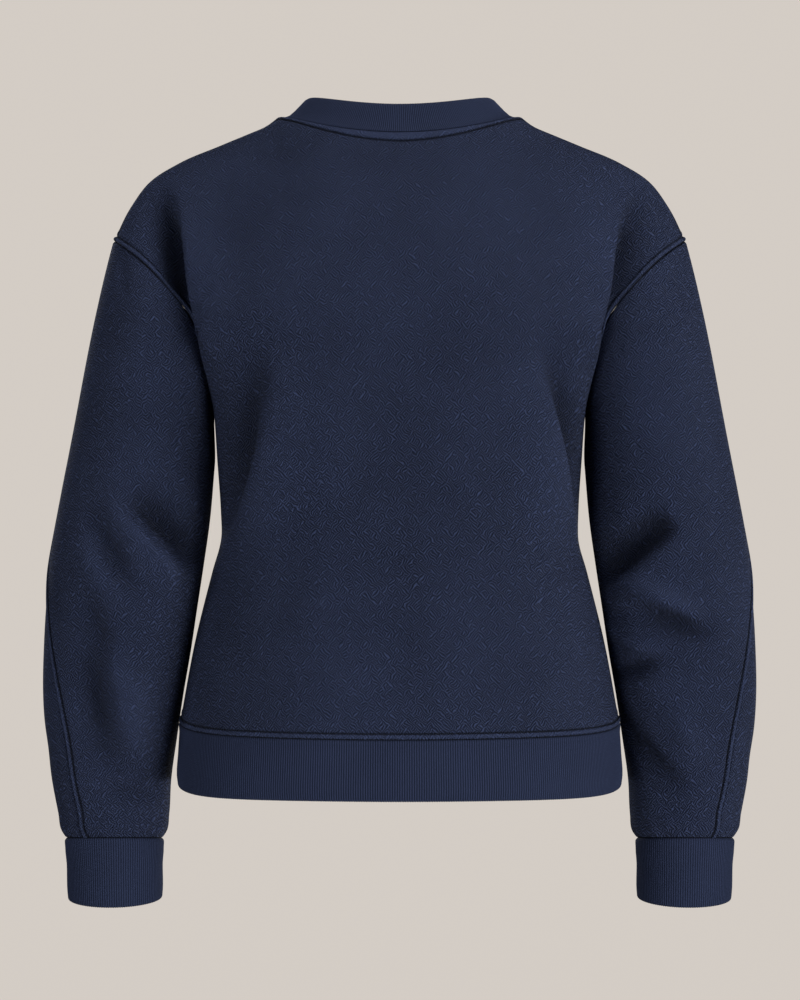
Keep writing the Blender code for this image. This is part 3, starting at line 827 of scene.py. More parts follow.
def paint_shade_and_wear(seams: SeamList, relief: Array) -> Array:
    """Painted shade and highlight of a piece where its seams and creases lie.

    Args:
        seams: The shape of each seam, the distances from it and the width of its strip.
        relief: How far the creases raise each point.

    Returns:
        Up to 1, painted shade in grooves and hollows; below 0, painted highlight on ridges and on padded
        strips, whose pressed nap is also paler.
    """
    deep = np.max([seam.crevice(far, strip) for seam, far, strip in seams], axis=0)
    pale = np.max([seam.highlight_and_wear(far, strip) for seam, far, strip in seams], axis=0)
    # painted shade in crease hollows and painted highlight on crease ridges, by how far each point moved
    folds = np.clip(relief * -FOLD_SHADE_PER_MM, PALEST_RIDGE, DEEPEST_HOLLOW)
    return deep + (folds - pale) * (1 - deep)


def hem_dip(share: Array) -> Array:
    """How far the lower edge sags between the centre line (0) and the side (1)."""
    return HEM_DIP * np.sin(math.pi * share**HEM_DIP_SKEW)


@dataclass
class StitchLine:
    """Where the stitches of one seam lie: points, the way along and the way up."""

    points: Array
    along: Array
    up: Array

    @classmethod
    def where(
        cls, grid: Grid, level: Array, by_column: bool, pitch: float, sunk: float = 0.1
    ) -> "StitchLine":
        """Lay stitches where a field of numbers passes zero.

        Args:
            grid: The sheet that is sewn.
            level: One number for each of its points.
            by_column: Whether each column, not each row, is crossed once.
            pitch: Distance between stitches.
            sunk: How far the stitch is drawn into the cloth.

        Returns:
            Evenly spaced stitches.
        """
        points, normals = grid.points, grid.normals()
        if not by_column:
            points, normals, level = points.swapaxes(0, 1), normals.swapaxes(0, 1), level.T
        past = level > 0
        row = past.argmax(axis=0)
        column = np.flatnonzero(past.any(axis=0) & (row > 0))
        row = row[column]
        before, after = level[row - 1, column], level[row, column]
        t = (before / (before - after))[:, None]
        crossed = [each[row - 1, column] * (1 - t) + each[row, column] * t for each in (points, normals)]
        lengths = running_length(crossed[0])
        at = np.arange(pitch / 2, lengths[-1], pitch)
        line, up = (np.stack([np.interp(at, lengths, part) for part in each.T], axis=1) for each in crossed)
        up = unit(up)
        return cls(line - up * sunk, unit(np.gradient(line, axis=0)), up)


# ---------------------------------------------------------------- nodes
def put(tree: Tree, kind: str, inputs: dict[Any, Any] | None = None, **settings: Any) -> Node:
    """Add a node.

    Args:
        tree: The tree that gets it.
        kind: The node's type.
        inputs: Values or sockets for its inputs, by name or place.
        settings: The node's own properties.

    Returns:
        The node.
    """
    node = tree.nodes.new(kind)
    for key, value in settings.items():
        setattr(node, key, value)
    for key, value in (inputs or {}).items():
        if isinstance(value, Socket):
            tree.links.new(value, node.inputs[key])
        else:
            node.inputs[key].default_value = value
    return node


def maths(tree: Tree, operation: str, *values: Any) -> Socket:
    """Output of a Math node with those inputs."""
    return put(tree, "ShaderNodeMath", dict(enumerate(values)), operation=operation).outputs[0]


def kept_value(tree: Tree, name: str) -> Socket:
    """Number that a shader reads from the mesh, by its attribute's name."""
    return put(tree, "ShaderNodeAttribute", attribute_name=name).outputs["Fac"]


def new_group(name: str, kind: str, takes: dict[str, str], gives: dict[str, str]) -> tuple[Tree, Node, Node]:
    """Start a node group.

    Args:
        name: Its name.
        kind: The type of tree.
        takes: Names and socket types of its inputs.
        gives: Names and socket types of its outputs.

    Returns:
        The tree, its input node and its output node.
    """
    tree = bpy.data.node_groups.new(name, kind)
    for way, sockets in (("INPUT", takes), ("OUTPUT", gives)):
        for socket, socket_type in sockets.items():
            tree.interface.new_socket(socket, in_out=way, socket_type=socket_type)
    return tree, tree.nodes.new("NodeGroupInput"), tree.nodes.new("NodeGroupOutput")


# ---------------------------------------------------------------- finishes
Colour = tuple[float, float, float]
# near-black colour of the painted shade in seam grooves and crease hollows
PAINTED_SHADE_COLOUR = (0.0016, 0.0022, 0.0050)
SHEEN_TINT = (0.55, 0.62, 0.85)
PATCHES_PER_METRE = 14.0
# how much paler the painted highlight on ridges and padded strips, with the strips' pressed nap, makes the
# cloth
HIGHLIGHT_AND_WEAR_PALENESS = 0.5
# the two ways in which the curls lie, the waves to a curl, and how far a curl turns them
NAP_DIRECTIONS = ((0.64, 0.14, -0.68), (0.74, -0.14, 0.60))
NAP_FINENESS = 2.35
NAP_TURNS = 1.5
NAP_CROSSING = (0.44, 0.56)
NAP_RIDGE_SHARE = 0.85
FIBRES_PER_METRE = 2200.0


def brushed_nap() -> Tree:
    """Build the group that curls short fibres over a surface.

    Returns:
        A shader group that gives their height and a shade from 0 to 1.
    """
    sizes = dict.fromkeys(("Curls per metre", "Turns", "Waves per metre", "Fuzz"), FLOAT)
    gives = {"Height": FLOAT, "Shade": FLOAT}
    tree, start, end = new_group("Brushed nap", "ShaderNodeTree", {"Vector": VECTOR, **sizes}, gives)
    given = start.outputs
    place = given["Vector"]
    curling = {"Vector": place, "Scale": given["Curls per metre"], "Detail": 0.0}
    curl = put(tree, "ShaderNodeTexNoise", curling)
    bends = put(tree, "ShaderNodeSeparateColor", {"Color": curl.outputs["Color"]}).outputs
    ridges = []
    for direction, bend in zip(NAP_DIRECTIONS, bends):
        along = put(tree, "ShaderNodeVectorMath", {0: place, 1: direction}, operation="DOT_PRODUCT")
        waves = maths(tree, "MULTIPLY", along.outputs["Value"], given["Waves per metre"])
        turns = maths(tree, "MULTIPLY_ADD", bend, given["Turns"], waves)
        ridges.append(maths(tree, "SINE", maths(tree, "MULTIPLY", turns, 2 * math.pi)))
    low, high = NAP_CROSSING
    lean = put(tree, "ShaderNodeMapRange", {"Value": bends[2], "From Min": low, "From Max": high})
    mixed = put(tree, "ShaderNodeMix", {"Factor": lean.outputs[0], "A": ridges[0], "B": ridges[1]})
    ridge = maths(tree, "MULTIPLY_ADD", mixed.outputs[0], 0.5, 0.5)
    fibre = put(tree, "ShaderNodeTexNoise", {"Vector": place, "Scale": FIBRES_PER_METRE, "Detail": 1.0})
    tone = maths(tree, "MULTIPLY", fibre.outputs["Fac"], 1 - NAP_RIDGE_SHARE)
    fuzz = maths(tree, "MULTIPLY", fibre.outputs["Fac"], given["Fuzz"])
    tree.links.new(maths(tree, "ADD", ridge, fuzz), end.inputs["Height"])
    tree.links.new(maths(tree, "MULTIPLY_ADD", ridge, NAP_RIDGE_SHARE, tone), end.inputs["Shade"])
    return tree


def piece_dye() -> Tree:
    """Build the group that mixes a deep and a light shade of one dye.

    Returns:
        A shader group that gives the colour by a mask, in slow patches, with painted shade in grooves and
        hollows.
    """
    masks = dict.fromkeys(("Mask", "Crevice", "Patches"), FLOAT)
    takes = {"Vector": VECTOR, **masks, "Deep": COLOUR, "Light": COLOUR}
    tree, start, end = new_group("Piece dye", "ShaderNodeTree", takes, {"Color": COLOUR})
    given = start.outputs
    patching = {"Vector": given["Vector"], "Scale": PATCHES_PER_METRE, "Detail": 3.0}
    patch = put(tree, "ShaderNodeTexNoise", patching)
    patch = maths(tree, "MULTIPLY", maths(tree, "SUBTRACT", patch.outputs["Fac"], 0.5), given["Patches"])
    mask = put(tree, "ShaderNodeClamp", {"Value": maths(tree, "ADD", given["Mask"], patch)}).outputs[0]
    mix = put(tree, "ShaderNodeMix", {0: mask, 6: given["Deep"], 7: given["Light"]}, data_type="RGBA")
    # painted shade: the colour sinks towards near-black where the shade input is high
    shaded = {0: given["Crevice"], 6: mix.outputs[2], 7: (*PAINTED_SHADE_COLOUR, 1.0)}
    mix = put(tree, "ShaderNodeMix", shaded, data_type="RGBA")
    tree.links.new(mix.outputs[2], end.inputs["Color"])
    return tree


@dataclass(frozen=True)
class Groups:
    """The shared shader groups, each built once."""

    nap: Tree
    dye: Tree


@dataclass(frozen=True)
class Finish:
    """A cloth's look: a dye in a deep and a light shade over a raised pattern."""

    name: str
    deep: Colour
    light: Colour
    roughness: float
    patches: float
    pattern_height: float
    pattern_strength: float
    sheen: float = 0.04
    sheen_roughness: float = 0.45
    specular: float = 0.12

    def pattern(self, groups: Groups, tree: Tree, place: Socket) -> tuple[Socket, Socket]:
        """Lay the cloth's pattern.

        Args:
            groups: The shared groups.
            tree: The material's tree.
            place: Object coordinates.

        Returns:
            The mask from the deep to the light shade, and the height.
        """
        raise NotImplementedError

    def nap(self, groups: Groups, tree: Tree, place: Socket, curls: float, fuzz: float) -> bpy.types.Node:
        """Place the nap group.

        Args:
            groups: The shared groups.
            tree: The material's tree.
            place: Object coordinates.
            curls: Curls per metre.
            fuzz: How far single fibres stand out.

        Returns:
            The group's node.
        """
        inputs = {
            "Vector": place,
            "Curls per metre": curls,
            "Turns": NAP_TURNS,
            "Waves per metre": curls * NAP_FINENESS,
            "Fuzz": fuzz,
        }
        return put(tree, "ShaderNodeGroup", inputs, node_tree=groups.nap)

    def material(self, groups: Groups) -> bpy.types.Material:
        """Build the material.

        Args:
            groups: The shared groups.

        Returns:
            The material, with its plain values on the shader's own sockets.
        """
        material = bpy.data.materials.new(self.name)
        material.use_nodes = True
        tree = material.node_tree
        shader = tree.nodes["Principled BSDF"]
        shader.inputs["Roughness"].default_value = self.roughness
        shader.inputs["Specular IOR Level"].default_value = self.specular
        shader.inputs["Sheen Weight"].default_value = self.sheen
        shader.inputs["Sheen Roughness"].default_value = self.sheen_roughness
        shader.inputs["Sheen Tint"].default_value = (*SHEEN_TINT, 1.0)
        place = put(tree, "ShaderNodeTexCoord").outputs["Object"]
        mask, height = self.pattern(groups, tree, place)
        crevice = kept_value(tree, "crevice")
        # negative values paint highlight on ridges and padded strips, whose pressed nap is also paler;
        # positive values are painted shade
        highlight_and_wear = maths(tree, "MULTIPLY", maths(tree, "MINIMUM", crevice, 0.0), -HIGHLIGHT_AND_WEAR_PALENESS)
        inputs = {
            "Vector": place,
            "Mask": maths(tree, "ADD", mask, highlight_and_wear),
            "Crevice": put(tree, "ShaderNodeClamp", {"Value": crevice}).outputs[0],
            "Patches": self.patches,
            "Deep": (*self.deep, 1.0),
            "Light": (*self.light, 1.0),
        }
        dyed = put(tree, "ShaderNodeGroup", inputs, node_tree=groups.dye)
        tree.links.new(dyed.outputs["Color"], shader.inputs["Base Color"])
        raised = {"Strength": self.pattern_strength, "Distance": self.pattern_height * MM, "Height": height}
        tree.links.new(put(tree, "ShaderNodeBump", raised).outputs[0], shader.inputs["Normal"])
        return material


@dataclass(frozen=True)
class FleeceFinish(Finish):
    """Brushed face of the fleece: short curled fibres and a slightly uneven dye."""

    curls: float = 235.0
    fuzz: float = 0.3

    def pattern(self, groups: Groups, tree: Tree, place: Socket) -> tuple[Socket, Socket]:
        """Lay the nap, as `Finish.pattern` says."""
        nap = self.nap(groups, tree, place, self.curls, self.fuzz)
        return nap.outputs["Shade"], nap.outputs["Height"]


@dataclass(frozen=True)
class RibFinish(Finish):
    """Rib knit: raised wales of small loops, with painted shade in the valleys between them."""

    curls: float = 420.0
    fuzz: float = 1.0
    course: float = 1.3
    loop_slant: float = 0.35
    loop_share: float = 0.3
    nap_share: float = 0.4
    # how sharply the painted shade darkens the valleys between the wales
    valley_shade: float = 1.4
    shade_range: tuple[float, float] = (0.7, 0.6)

    def pattern(self, groups: Groups, tree: Tree, place: Socket) -> tuple[Socket, Socket]:
        """Lay the loops along the wales.

        Args:
            groups: The shared groups.
            tree: The material's tree.
            place: Object coordinates.

        Returns:
            The mask, with painted shade in the valleys, and the height.
        """
        nap = self.nap(groups, tree, place, self.curls, self.fuzz)
        crest, course = kept_value(tree, "crest"), kept_value(tree, "course")
        chevron = maths(tree, "DIVIDE", course, self.course)
        chevron = maths(tree, "MULTIPLY_ADD", crest, self.loop_slant, chevron)
        loops = maths(tree, "ABSOLUTE", maths(tree, "SINE", maths(tree, "MULTIPLY", chevron, math.pi)))
        loops = maths(tree, "MULTIPLY", loops, self.loop_share)
        tone = maths(tree, "MULTIPLY_ADD", nap.outputs["Shade"], *self.shade_range)
        # painted shade in the valleys between the wales
        mask = maths(tree, "MULTIPLY", maths(tree, "POWER", crest, self.valley_shade), tone)
        return mask, maths(tree, "MULTIPLY_ADD", nap.outputs["Height"], self.nap_share, loops)


@dataclass(frozen=True)
class ThreadFinish(Finish):
    """Spun sewing thread with a slight twist."""

    twist: float = 1800.0
    unevenness: float = 2.0

    def pattern(self, groups: Groups, tree: Tree, place: Socket) -> tuple[Socket, Socket]:
        """Lay the twist.

        Args:
            groups: The shared groups; not used here.
            tree: The material's tree.
            place: Object coordinates.

        Returns:
            The mask and the height, which are the same here.
        """
        twisting = {"Vector": place, "Scale": self.twist, "Distortion": self.unevenness}
        ply = put(tree, "ShaderNodeTexWave", twisting)
        return ply.outputs["Fac"], ply.outputs["Fac"]


# name, deep shade, light shade, roughness, patches, pattern height and strength
FLEECE = FleeceFinish("fleece", (0.0093, 0.0133, 0.0325), (0.0535, 0.0745, 0.165), 0.95, 0.4, 2.1, 1.0)
RIB = RibFinish("rib", (0.0068, 0.0101, 0.0230), (0.0325, 0.0450, 0.1000), 0.92, 0.3, 0.25, 0.7)
THREAD = ThreadFinish("thread", (0.016, 0.023, 0.048), (0.034, 0.047, 0.096), 0.7, 0.2, 0.1, 0.5, sheen=0.05)


# ---------------------------------------------------------------- geometry node tools
class NodeTool:
    """A geometry node tree with named inputs that is run on an object and leaves a plain mesh."""

    def __init__(self, name: str, takes: Sequence[str]) -> None:
        """Start the tree.

        Args:
            name: Name of the tree.
            takes: Names of its numbers, between the geometry and the material.
        """
        geometry = {"Geometry": "NodeSocketGeometry"}
        sockets = {**geometry, **dict.fromkeys(takes, FLOAT), "Material": "NodeSocketMaterial"}
        self.tree, self.start, self.end = new_group(name, "GeometryNodeTree", sockets, geometry)

    def kept(self, name: str, kind: str = "FLOAT") -> Socket:
        """Value that the mesh keeps under that name."""
        return put(self.tree, "GeometryNodeInputNamedAttribute", {"Name": name}, data_type=kind).outputs[0]

    def close(self, geometry: Socket) -> None:
        """End the tree with Realize Instances and Set Material.

        Args:
            geometry: What the tree has made.
        """
        real = put(self.tree, "GeometryNodeRealizeInstances", {"Geometry": geometry})
        smooth = {"Geometry": real.outputs[0], "Shade Smooth": True}
        shade = put(self.tree, "GeometryNodeSetShadeSmooth", smooth)
        dress = {"Geometry": shade.outputs[0], "Material": self.start.outputs["Material"]}
        dressed = put(self.tree, "GeometryNodeSetMaterial", dress)
        self.tree.links.new(dressed.outputs[0], self.end.inputs["Geometry"])

    def run(self, made: Piece, **values: Any) -> Piece:
        """Apply the tree to an object.

        Args:
            made: The object.
            values: The tree's inputs.

        Returns:
            The same object with a plain mesh.
        """
        modifier = made.modifiers.new(self.tree.name, "NODES")
        modifier.node_group = self.tree
        for item in self.tree.interface.items_tree:
            if item.in_out == "INPUT" and item.name in values:
                modifier[item.identifier] = values[item.name]
        graph = bpy.context.evaluated_depsgraph_get()
        baked = made.evaluated_get(graph)
        mesh = bpy.data.meshes.new_from_object(baked, preserve_all_data_layers=True, depsgraph=graph)
        made.modifiers.remove(modifier)
        made.data = mesh
        mesh.name = made.name
        return made


class RibKnitter(NodeTool):
    """Raises the wales of a rib band from the attribute `around`, from 0 to 1 once round."""

    roundness = 0.8
    middle = 0.7

    def __init__(self) -> None:
        """Build the tree."""
        super().__init__("Rib wales", ("Wales", "Height"))
        tree, given = self.tree, self.start.outputs
        turns = maths(tree, "MULTIPLY", maths(tree, "MULTIPLY", self.kept("around"), given["Wales"]), math.pi)
        crest = maths(tree, "POWER", maths(tree, "ABSOLUTE", maths(tree, "SINE", turns)), self.roundness)
        raised = maths(tree, "MULTIPLY", maths(tree, "SUBTRACT", crest, self.middle), given["Height"])
        raised = maths(tree, "MULTIPLY", raised, self.kept("hold"))
        normal = put(tree, "GeometryNodeInputNormal").outputs[0]
        offset = put(tree, "ShaderNodeVectorMath", {0: normal, "Scale": raised}, operation="SCALE").outputs[0]
        moved = put(tree, "GeometryNodeSetPosition", {"Geometry": given["Geometry"], "Offset": offset})
        crests = {"Geometry": moved.outputs[0], "Name": "crest", "Value": crest}
        stored = put(tree, "GeometryNodeStoreNamedAttribute", crests, data_type="FLOAT", domain="POINT")
        self.close(stored.outputs[0])


class Sewer(NodeTool):
    """Lays one small stitch at each point, from the attributes `along` and `up`."""

    def __init__(self) -> None:
        """Build the tree."""
        sizes = ("Length", "Width", "Height")
        super().__init__("Stitches", sizes)
        tree, given = self.tree, self.start.outputs
        size = put(tree, "ShaderNodeCombineXYZ", {k: given[v] for k, v in enumerate(sizes)})
        bead = put(tree, "GeometryNodeMeshIcoSphere", {"Radius": 0.5, "Subdivisions": 1})
        bead = put(tree, "GeometryNodeTransform", {"Geometry": bead.outputs[0], "Scale": size.outputs[0]})
        up, along = (self.kept(name, "FLOAT_VECTOR") for name in ("up", "along"))
        axes = {"Primary Axis": up, "Secondary Axis": along}
        turn = put(tree, "FunctionNodeAxesToRotation", axes, primary_axis="Z", secondary_axis="X")
        points = put(tree, "GeometryNodeMeshToPoints", {"Mesh": given["Geometry"], "Radius": 0.001})
        beads = {"Points": points.outputs[0], "Instance": bead.outputs[0], "Rotation": turn.outputs[0]}
        self.close(put(tree, "GeometryNodeInstanceOnPoints", beads).outputs[0])


# ---------------------------------------------------------------- the workshop
@dataclass(frozen=True)
class StitchSize:
    """Size of one stitch and the way it lies."""

    lay: Lay
    length: float
    width: float


COVER_STITCH = StitchSize(Lay.ACROSS, 1.5, 0.55)
TOP_STITCH = StitchSize(Lay.ALONG, 1.7, 0.5)


@dataclass
class Workshop:
    """What every piece is made with: the materials and the node tools."""

    fleece: bpy.types.Material
    rib: bpy.types.Material
    thread: bpy.types.Material
    knitter: RibKnitter
    sewer: Sewer

    @classmethod
    def open(cls) -> "Workshop":
        """Build the materials and tools."""
        groups = Groups(brushed_nap(), piece_dye())
        return cls(*(finish.material(groups) for finish in (FLEECE, RIB, THREAD)), RibKnitter(), Sewer())

    def sew(self, name: str, lines: Sequence[StitchLine], stitch: StitchSize) -> Piece:
        """Lay the stitches of one piece.

        Args:
            name: Name of the joined stitches.
            lines: The lines that they follow.
            stitch: Size and lie of a stitch.

        Returns:
            One plain mesh.
        """
        parts = ([getattr(line, key) for line in lines] for key in ("points", "along", "up"))
        points, along, up = (np.concatenate(part) for part in parts)
        if stitch.lay is Lay.ACROSS:
            along = unit(np.cross(up, along))
        made = piece_from(name, points, np.empty((0, 3), int), {"along": along, "up": up})
        sizes = {"Length": stitch.length * MM, "Width": stitch.width * MM, "Height": stitch.width * MM}
        self.sewer.run(made, Material=self.thread, **sizes)
        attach(made, ROOT)
        LOG.info("%s: %d stitches", name, len(points))
        return made


@dataclass(frozen=True)
class Cut:
    """The flat cut of a piece, in metres and square metres."""

    width: float
    length: float
    area: float


def hang(piece: Piece, node: str, cut: Cut) -> None:
    """Set a finished piece in the model in place of its solid.

    Args:
        piece: The finished piece.
        node: The solid that it stands for.
        cut: Its flat cut.
    """
    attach(piece, ROOT)
    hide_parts(node)
    LOG.info("%s: %d points, cut %.2f x %.2f m", piece.name, len(piece.data.vertices), cut.width, cut.length)


# ---------------------------------------------------------------- panels and sleeves
@dataclass
class FleecePiece:
    """A cut piece of fleece on the front or the back.

    Its points lie `step` apart, and `fine` apart beside the seams.
    """

    facing: Facing
    cut: Cut
    step: float = 3.2
    fine: float = 0.62
    wall: float = 2.0

    def press(self, shop: Workshop, name: str, grid: Grid, seams: SeamList) -> Piece:
        """Press the seams into a sheet and give it its wall.

        Args:
            shop: The materials and tools.
            name: Name of the piece.
            grid: The sheet, which takes on the shape of the seams.
            seams: The shape of each seam, the distances from it and the width of its strip.

        Returns:
            The piece, with its wall inwards from its outer face.
        """
        grid.swell(np.maximum(sum(seam.height(far, strip) for seam, far, strip in seams), DEEPEST))
        # painted shade in grooves and hollows and painted highlight on ridges and strips, kept on the points
        shade = np.pad(paint_shade_and_wear(seams, grid.relief), 1, mode="edge").ravel()
        whole = grid.turned_in()
        piece = piece_from(name, whole.points.reshape(-1, 3), whole.faces(), {"crevice": shade})
        piece.data.materials.append(shop.fleece)
        thickness = piece.modifiers.new("Cloth wall", "SOLIDIFY")
        thickness.thickness = self.wall * MM
        thickness.offset = -1.0
        return piece


@dataclass
class BodyPanel(FleecePiece):
    """The back or the front, cut in one piece from side seam to side seam.

    `easing` is how far from the underarm the sheet is smoothed, `settle` how far the shoulder sinks
    beside its seam and `dip_length` how far above the hem the sag starts.
    """

    stitch_pitch: float = 1.76
    side_growth: float = 0.10
    easing: float = 55.0
    easing_share: float = 0.5
    easing_rounds: int = 90
    settle: float = 2.4
    settle_length: float = 30.0
    settle_start: float = 0.05
    dip_length: float = 90.0
    seam_hold: int = 26
    strip_sharpness: int = 4
    stitched_share: float = 0.97

    def half(self) -> tuple[Array, Array]:
        """Lay out the wearer's left half.

        Returns:
            Its points, and the share of each from the centre line to the edge.
        """
        form = FORMS[self.facing]
        tip = SEAM_TIP * self.facing.value
        under_neck = np.arange(0.0, NECK_SHARE * SECTION_LENGTH - 0.5 * self.step, self.step)
        beside = (1 - NECK_SHARE) * SECTION_LENGTH
        beside = graded_stops(beside, self.step, self.fine, False, True, self.side_growth)
        share = np.concatenate([under_neck / SECTION_LENGTH, NECK_SHARE + beside / SECTION_LENGTH])
        upper = tip + graded_stops(form.underarm - tip, self.step, self.fine, True, False)
        lower = form.underarm + graded_stops(form.hem - form.underarm, self.step, self.fine, False, True)[1:]
        seam = tip * np.maximum(share - NECK_SHARE, 0.0) / (1 - NECK_SHARE)
        stretch = (form.underarm - seam) / (form.underarm - tip)
        station = seam + (upper[:, None] - tip) * stretch
        station = np.concatenate([station, np.repeat(lower[:, None], len(share), axis=1)])
        shares = np.broadcast_to(share, station.shape)
        points = body_points(self.facing, shares.ravel(), station.ravel()).reshape(*station.shape, 3)
        ease = self.easing_share * mound(station, self.easing, form.underarm) * (1 - shares**8)
        for _ in range(self.easing_rounds):
            points[1:-1] += (0.5 * (points[:-2] + points[2:]) - points[1:-1]) * ease[1:-1, :, None]
        ridge = smooth_step(NECK_SHARE, NECK_SHARE + self.settle_start, shares) * (1 - shares**5)
        points[..., 2] -= self.settle * ridge * mound(station, self.settle_length)
        points[..., 2] -= hem_dip(shares) * smooth_step(form.hem - self.dip_length, form.hem, station)
        return points, shares

    def sheet(self) -> tuple[Grid, Array]:
        """Lay out the whole sheet and crease it.

        Returns:
            The sheet, and the share of each column, negative on the wearer's right.
        """
        points, shares = self.half()
        whole = np.concatenate([points[:, ::-1], points[:, 1:] * Arm.RIGHT.flip], axis=1)
        share = np.concatenate([shares[0, ::-1], -shares[0, 1:]])
        grid = Grid(whole, self.facing.value)
        grid.fold(BODY_CREASES, np.broadcast_to(1.0 - np.abs(share) ** self.seam_hold, whole.shape[:2]))
        return grid, share

    def build(self, shop: Workshop) -> Piece:
        """Make the panel with its padded seams, stitch it and hang it in the model.

        Args:
            shop: The materials and tools.

        Returns:
            The finished panel.
        """
        grid, share = self.sheet()
        form, name = FORMS[self.facing], self.facing.name.lower()
        top = grid.points[0]
        arm_rows = grid.points[:, 0, 2] > form.table[ARMHOLE_ROWS, 4] - 0.5
        to_neck = grid.distance(top[np.abs(share) <= NECK_SHARE + SHARE_SLACK])
        shoulders = (top[share >= NECK_SHARE - SHARE_SLACK], top[share <= -NECK_SHARE])
        to_shoulder = np.minimum(*(grid.distance(line) for line in shoulders))
        to_arm = np.minimum(*(grid.distance(grid.points[arm_rows, edge]) for edge in (0, -1)))
        to_side = np.minimum(*(grid.distance(grid.points[~arm_rows, edge]) for edge in (0, -1)))
        to_hem = grid.distance(grid.points[-1])
        from_centre = np.minimum(np.abs(share) / NECK_SHARE, 1.0)
        centring = np.cos(from_centre * math.pi / 2) ** self.strip_sharpness
        neck_strip = NECK_STRIP + NECK_STRIP_CENTRE * centring[None, :]
        seams = (
            (NECK_SEAM, to_neck, neck_strip),
            (SHOULDER_SEAM, to_shoulder, 1.0),
            (STRIP_SEAM, to_arm, ARMHOLE_STRIP),
            (PLAIN_SEAM, to_side, 1.0),
            (HEM_SEAM, to_hem, HEM_STRIP),
        )
        piece = self.press(shop, f"{name}_cloth", grid, seams)
        under_neck = np.abs(share) < NECK_SHARE * self.stitched_share
        neck = Grid(grid.points[:, under_neck], grid.outward)
        lines = [StitchLine.where(neck, (to_neck - neck_strip)[:, under_neck], True, self.stitch_pitch)]
        lines.append(StitchLine.where(grid, HEM_STRIP - to_hem, True, self.stitch_pitch))
        for columns in (slice(None, len(share) // 2), slice(None, len(share) // 2, -1)):
            side = Grid(grid.points[arm_rows][:, columns], grid.outward)
            level = (to_arm - ARMHOLE_STRIP)[arm_rows][:, columns]
            lines.append(StitchLine.where(side, level, False, self.stitch_pitch))
        stitches = shop.sew(f"{name}_stitches", lines, COVER_STITCH)
        hang(piece, name, self.cut)
        return piece


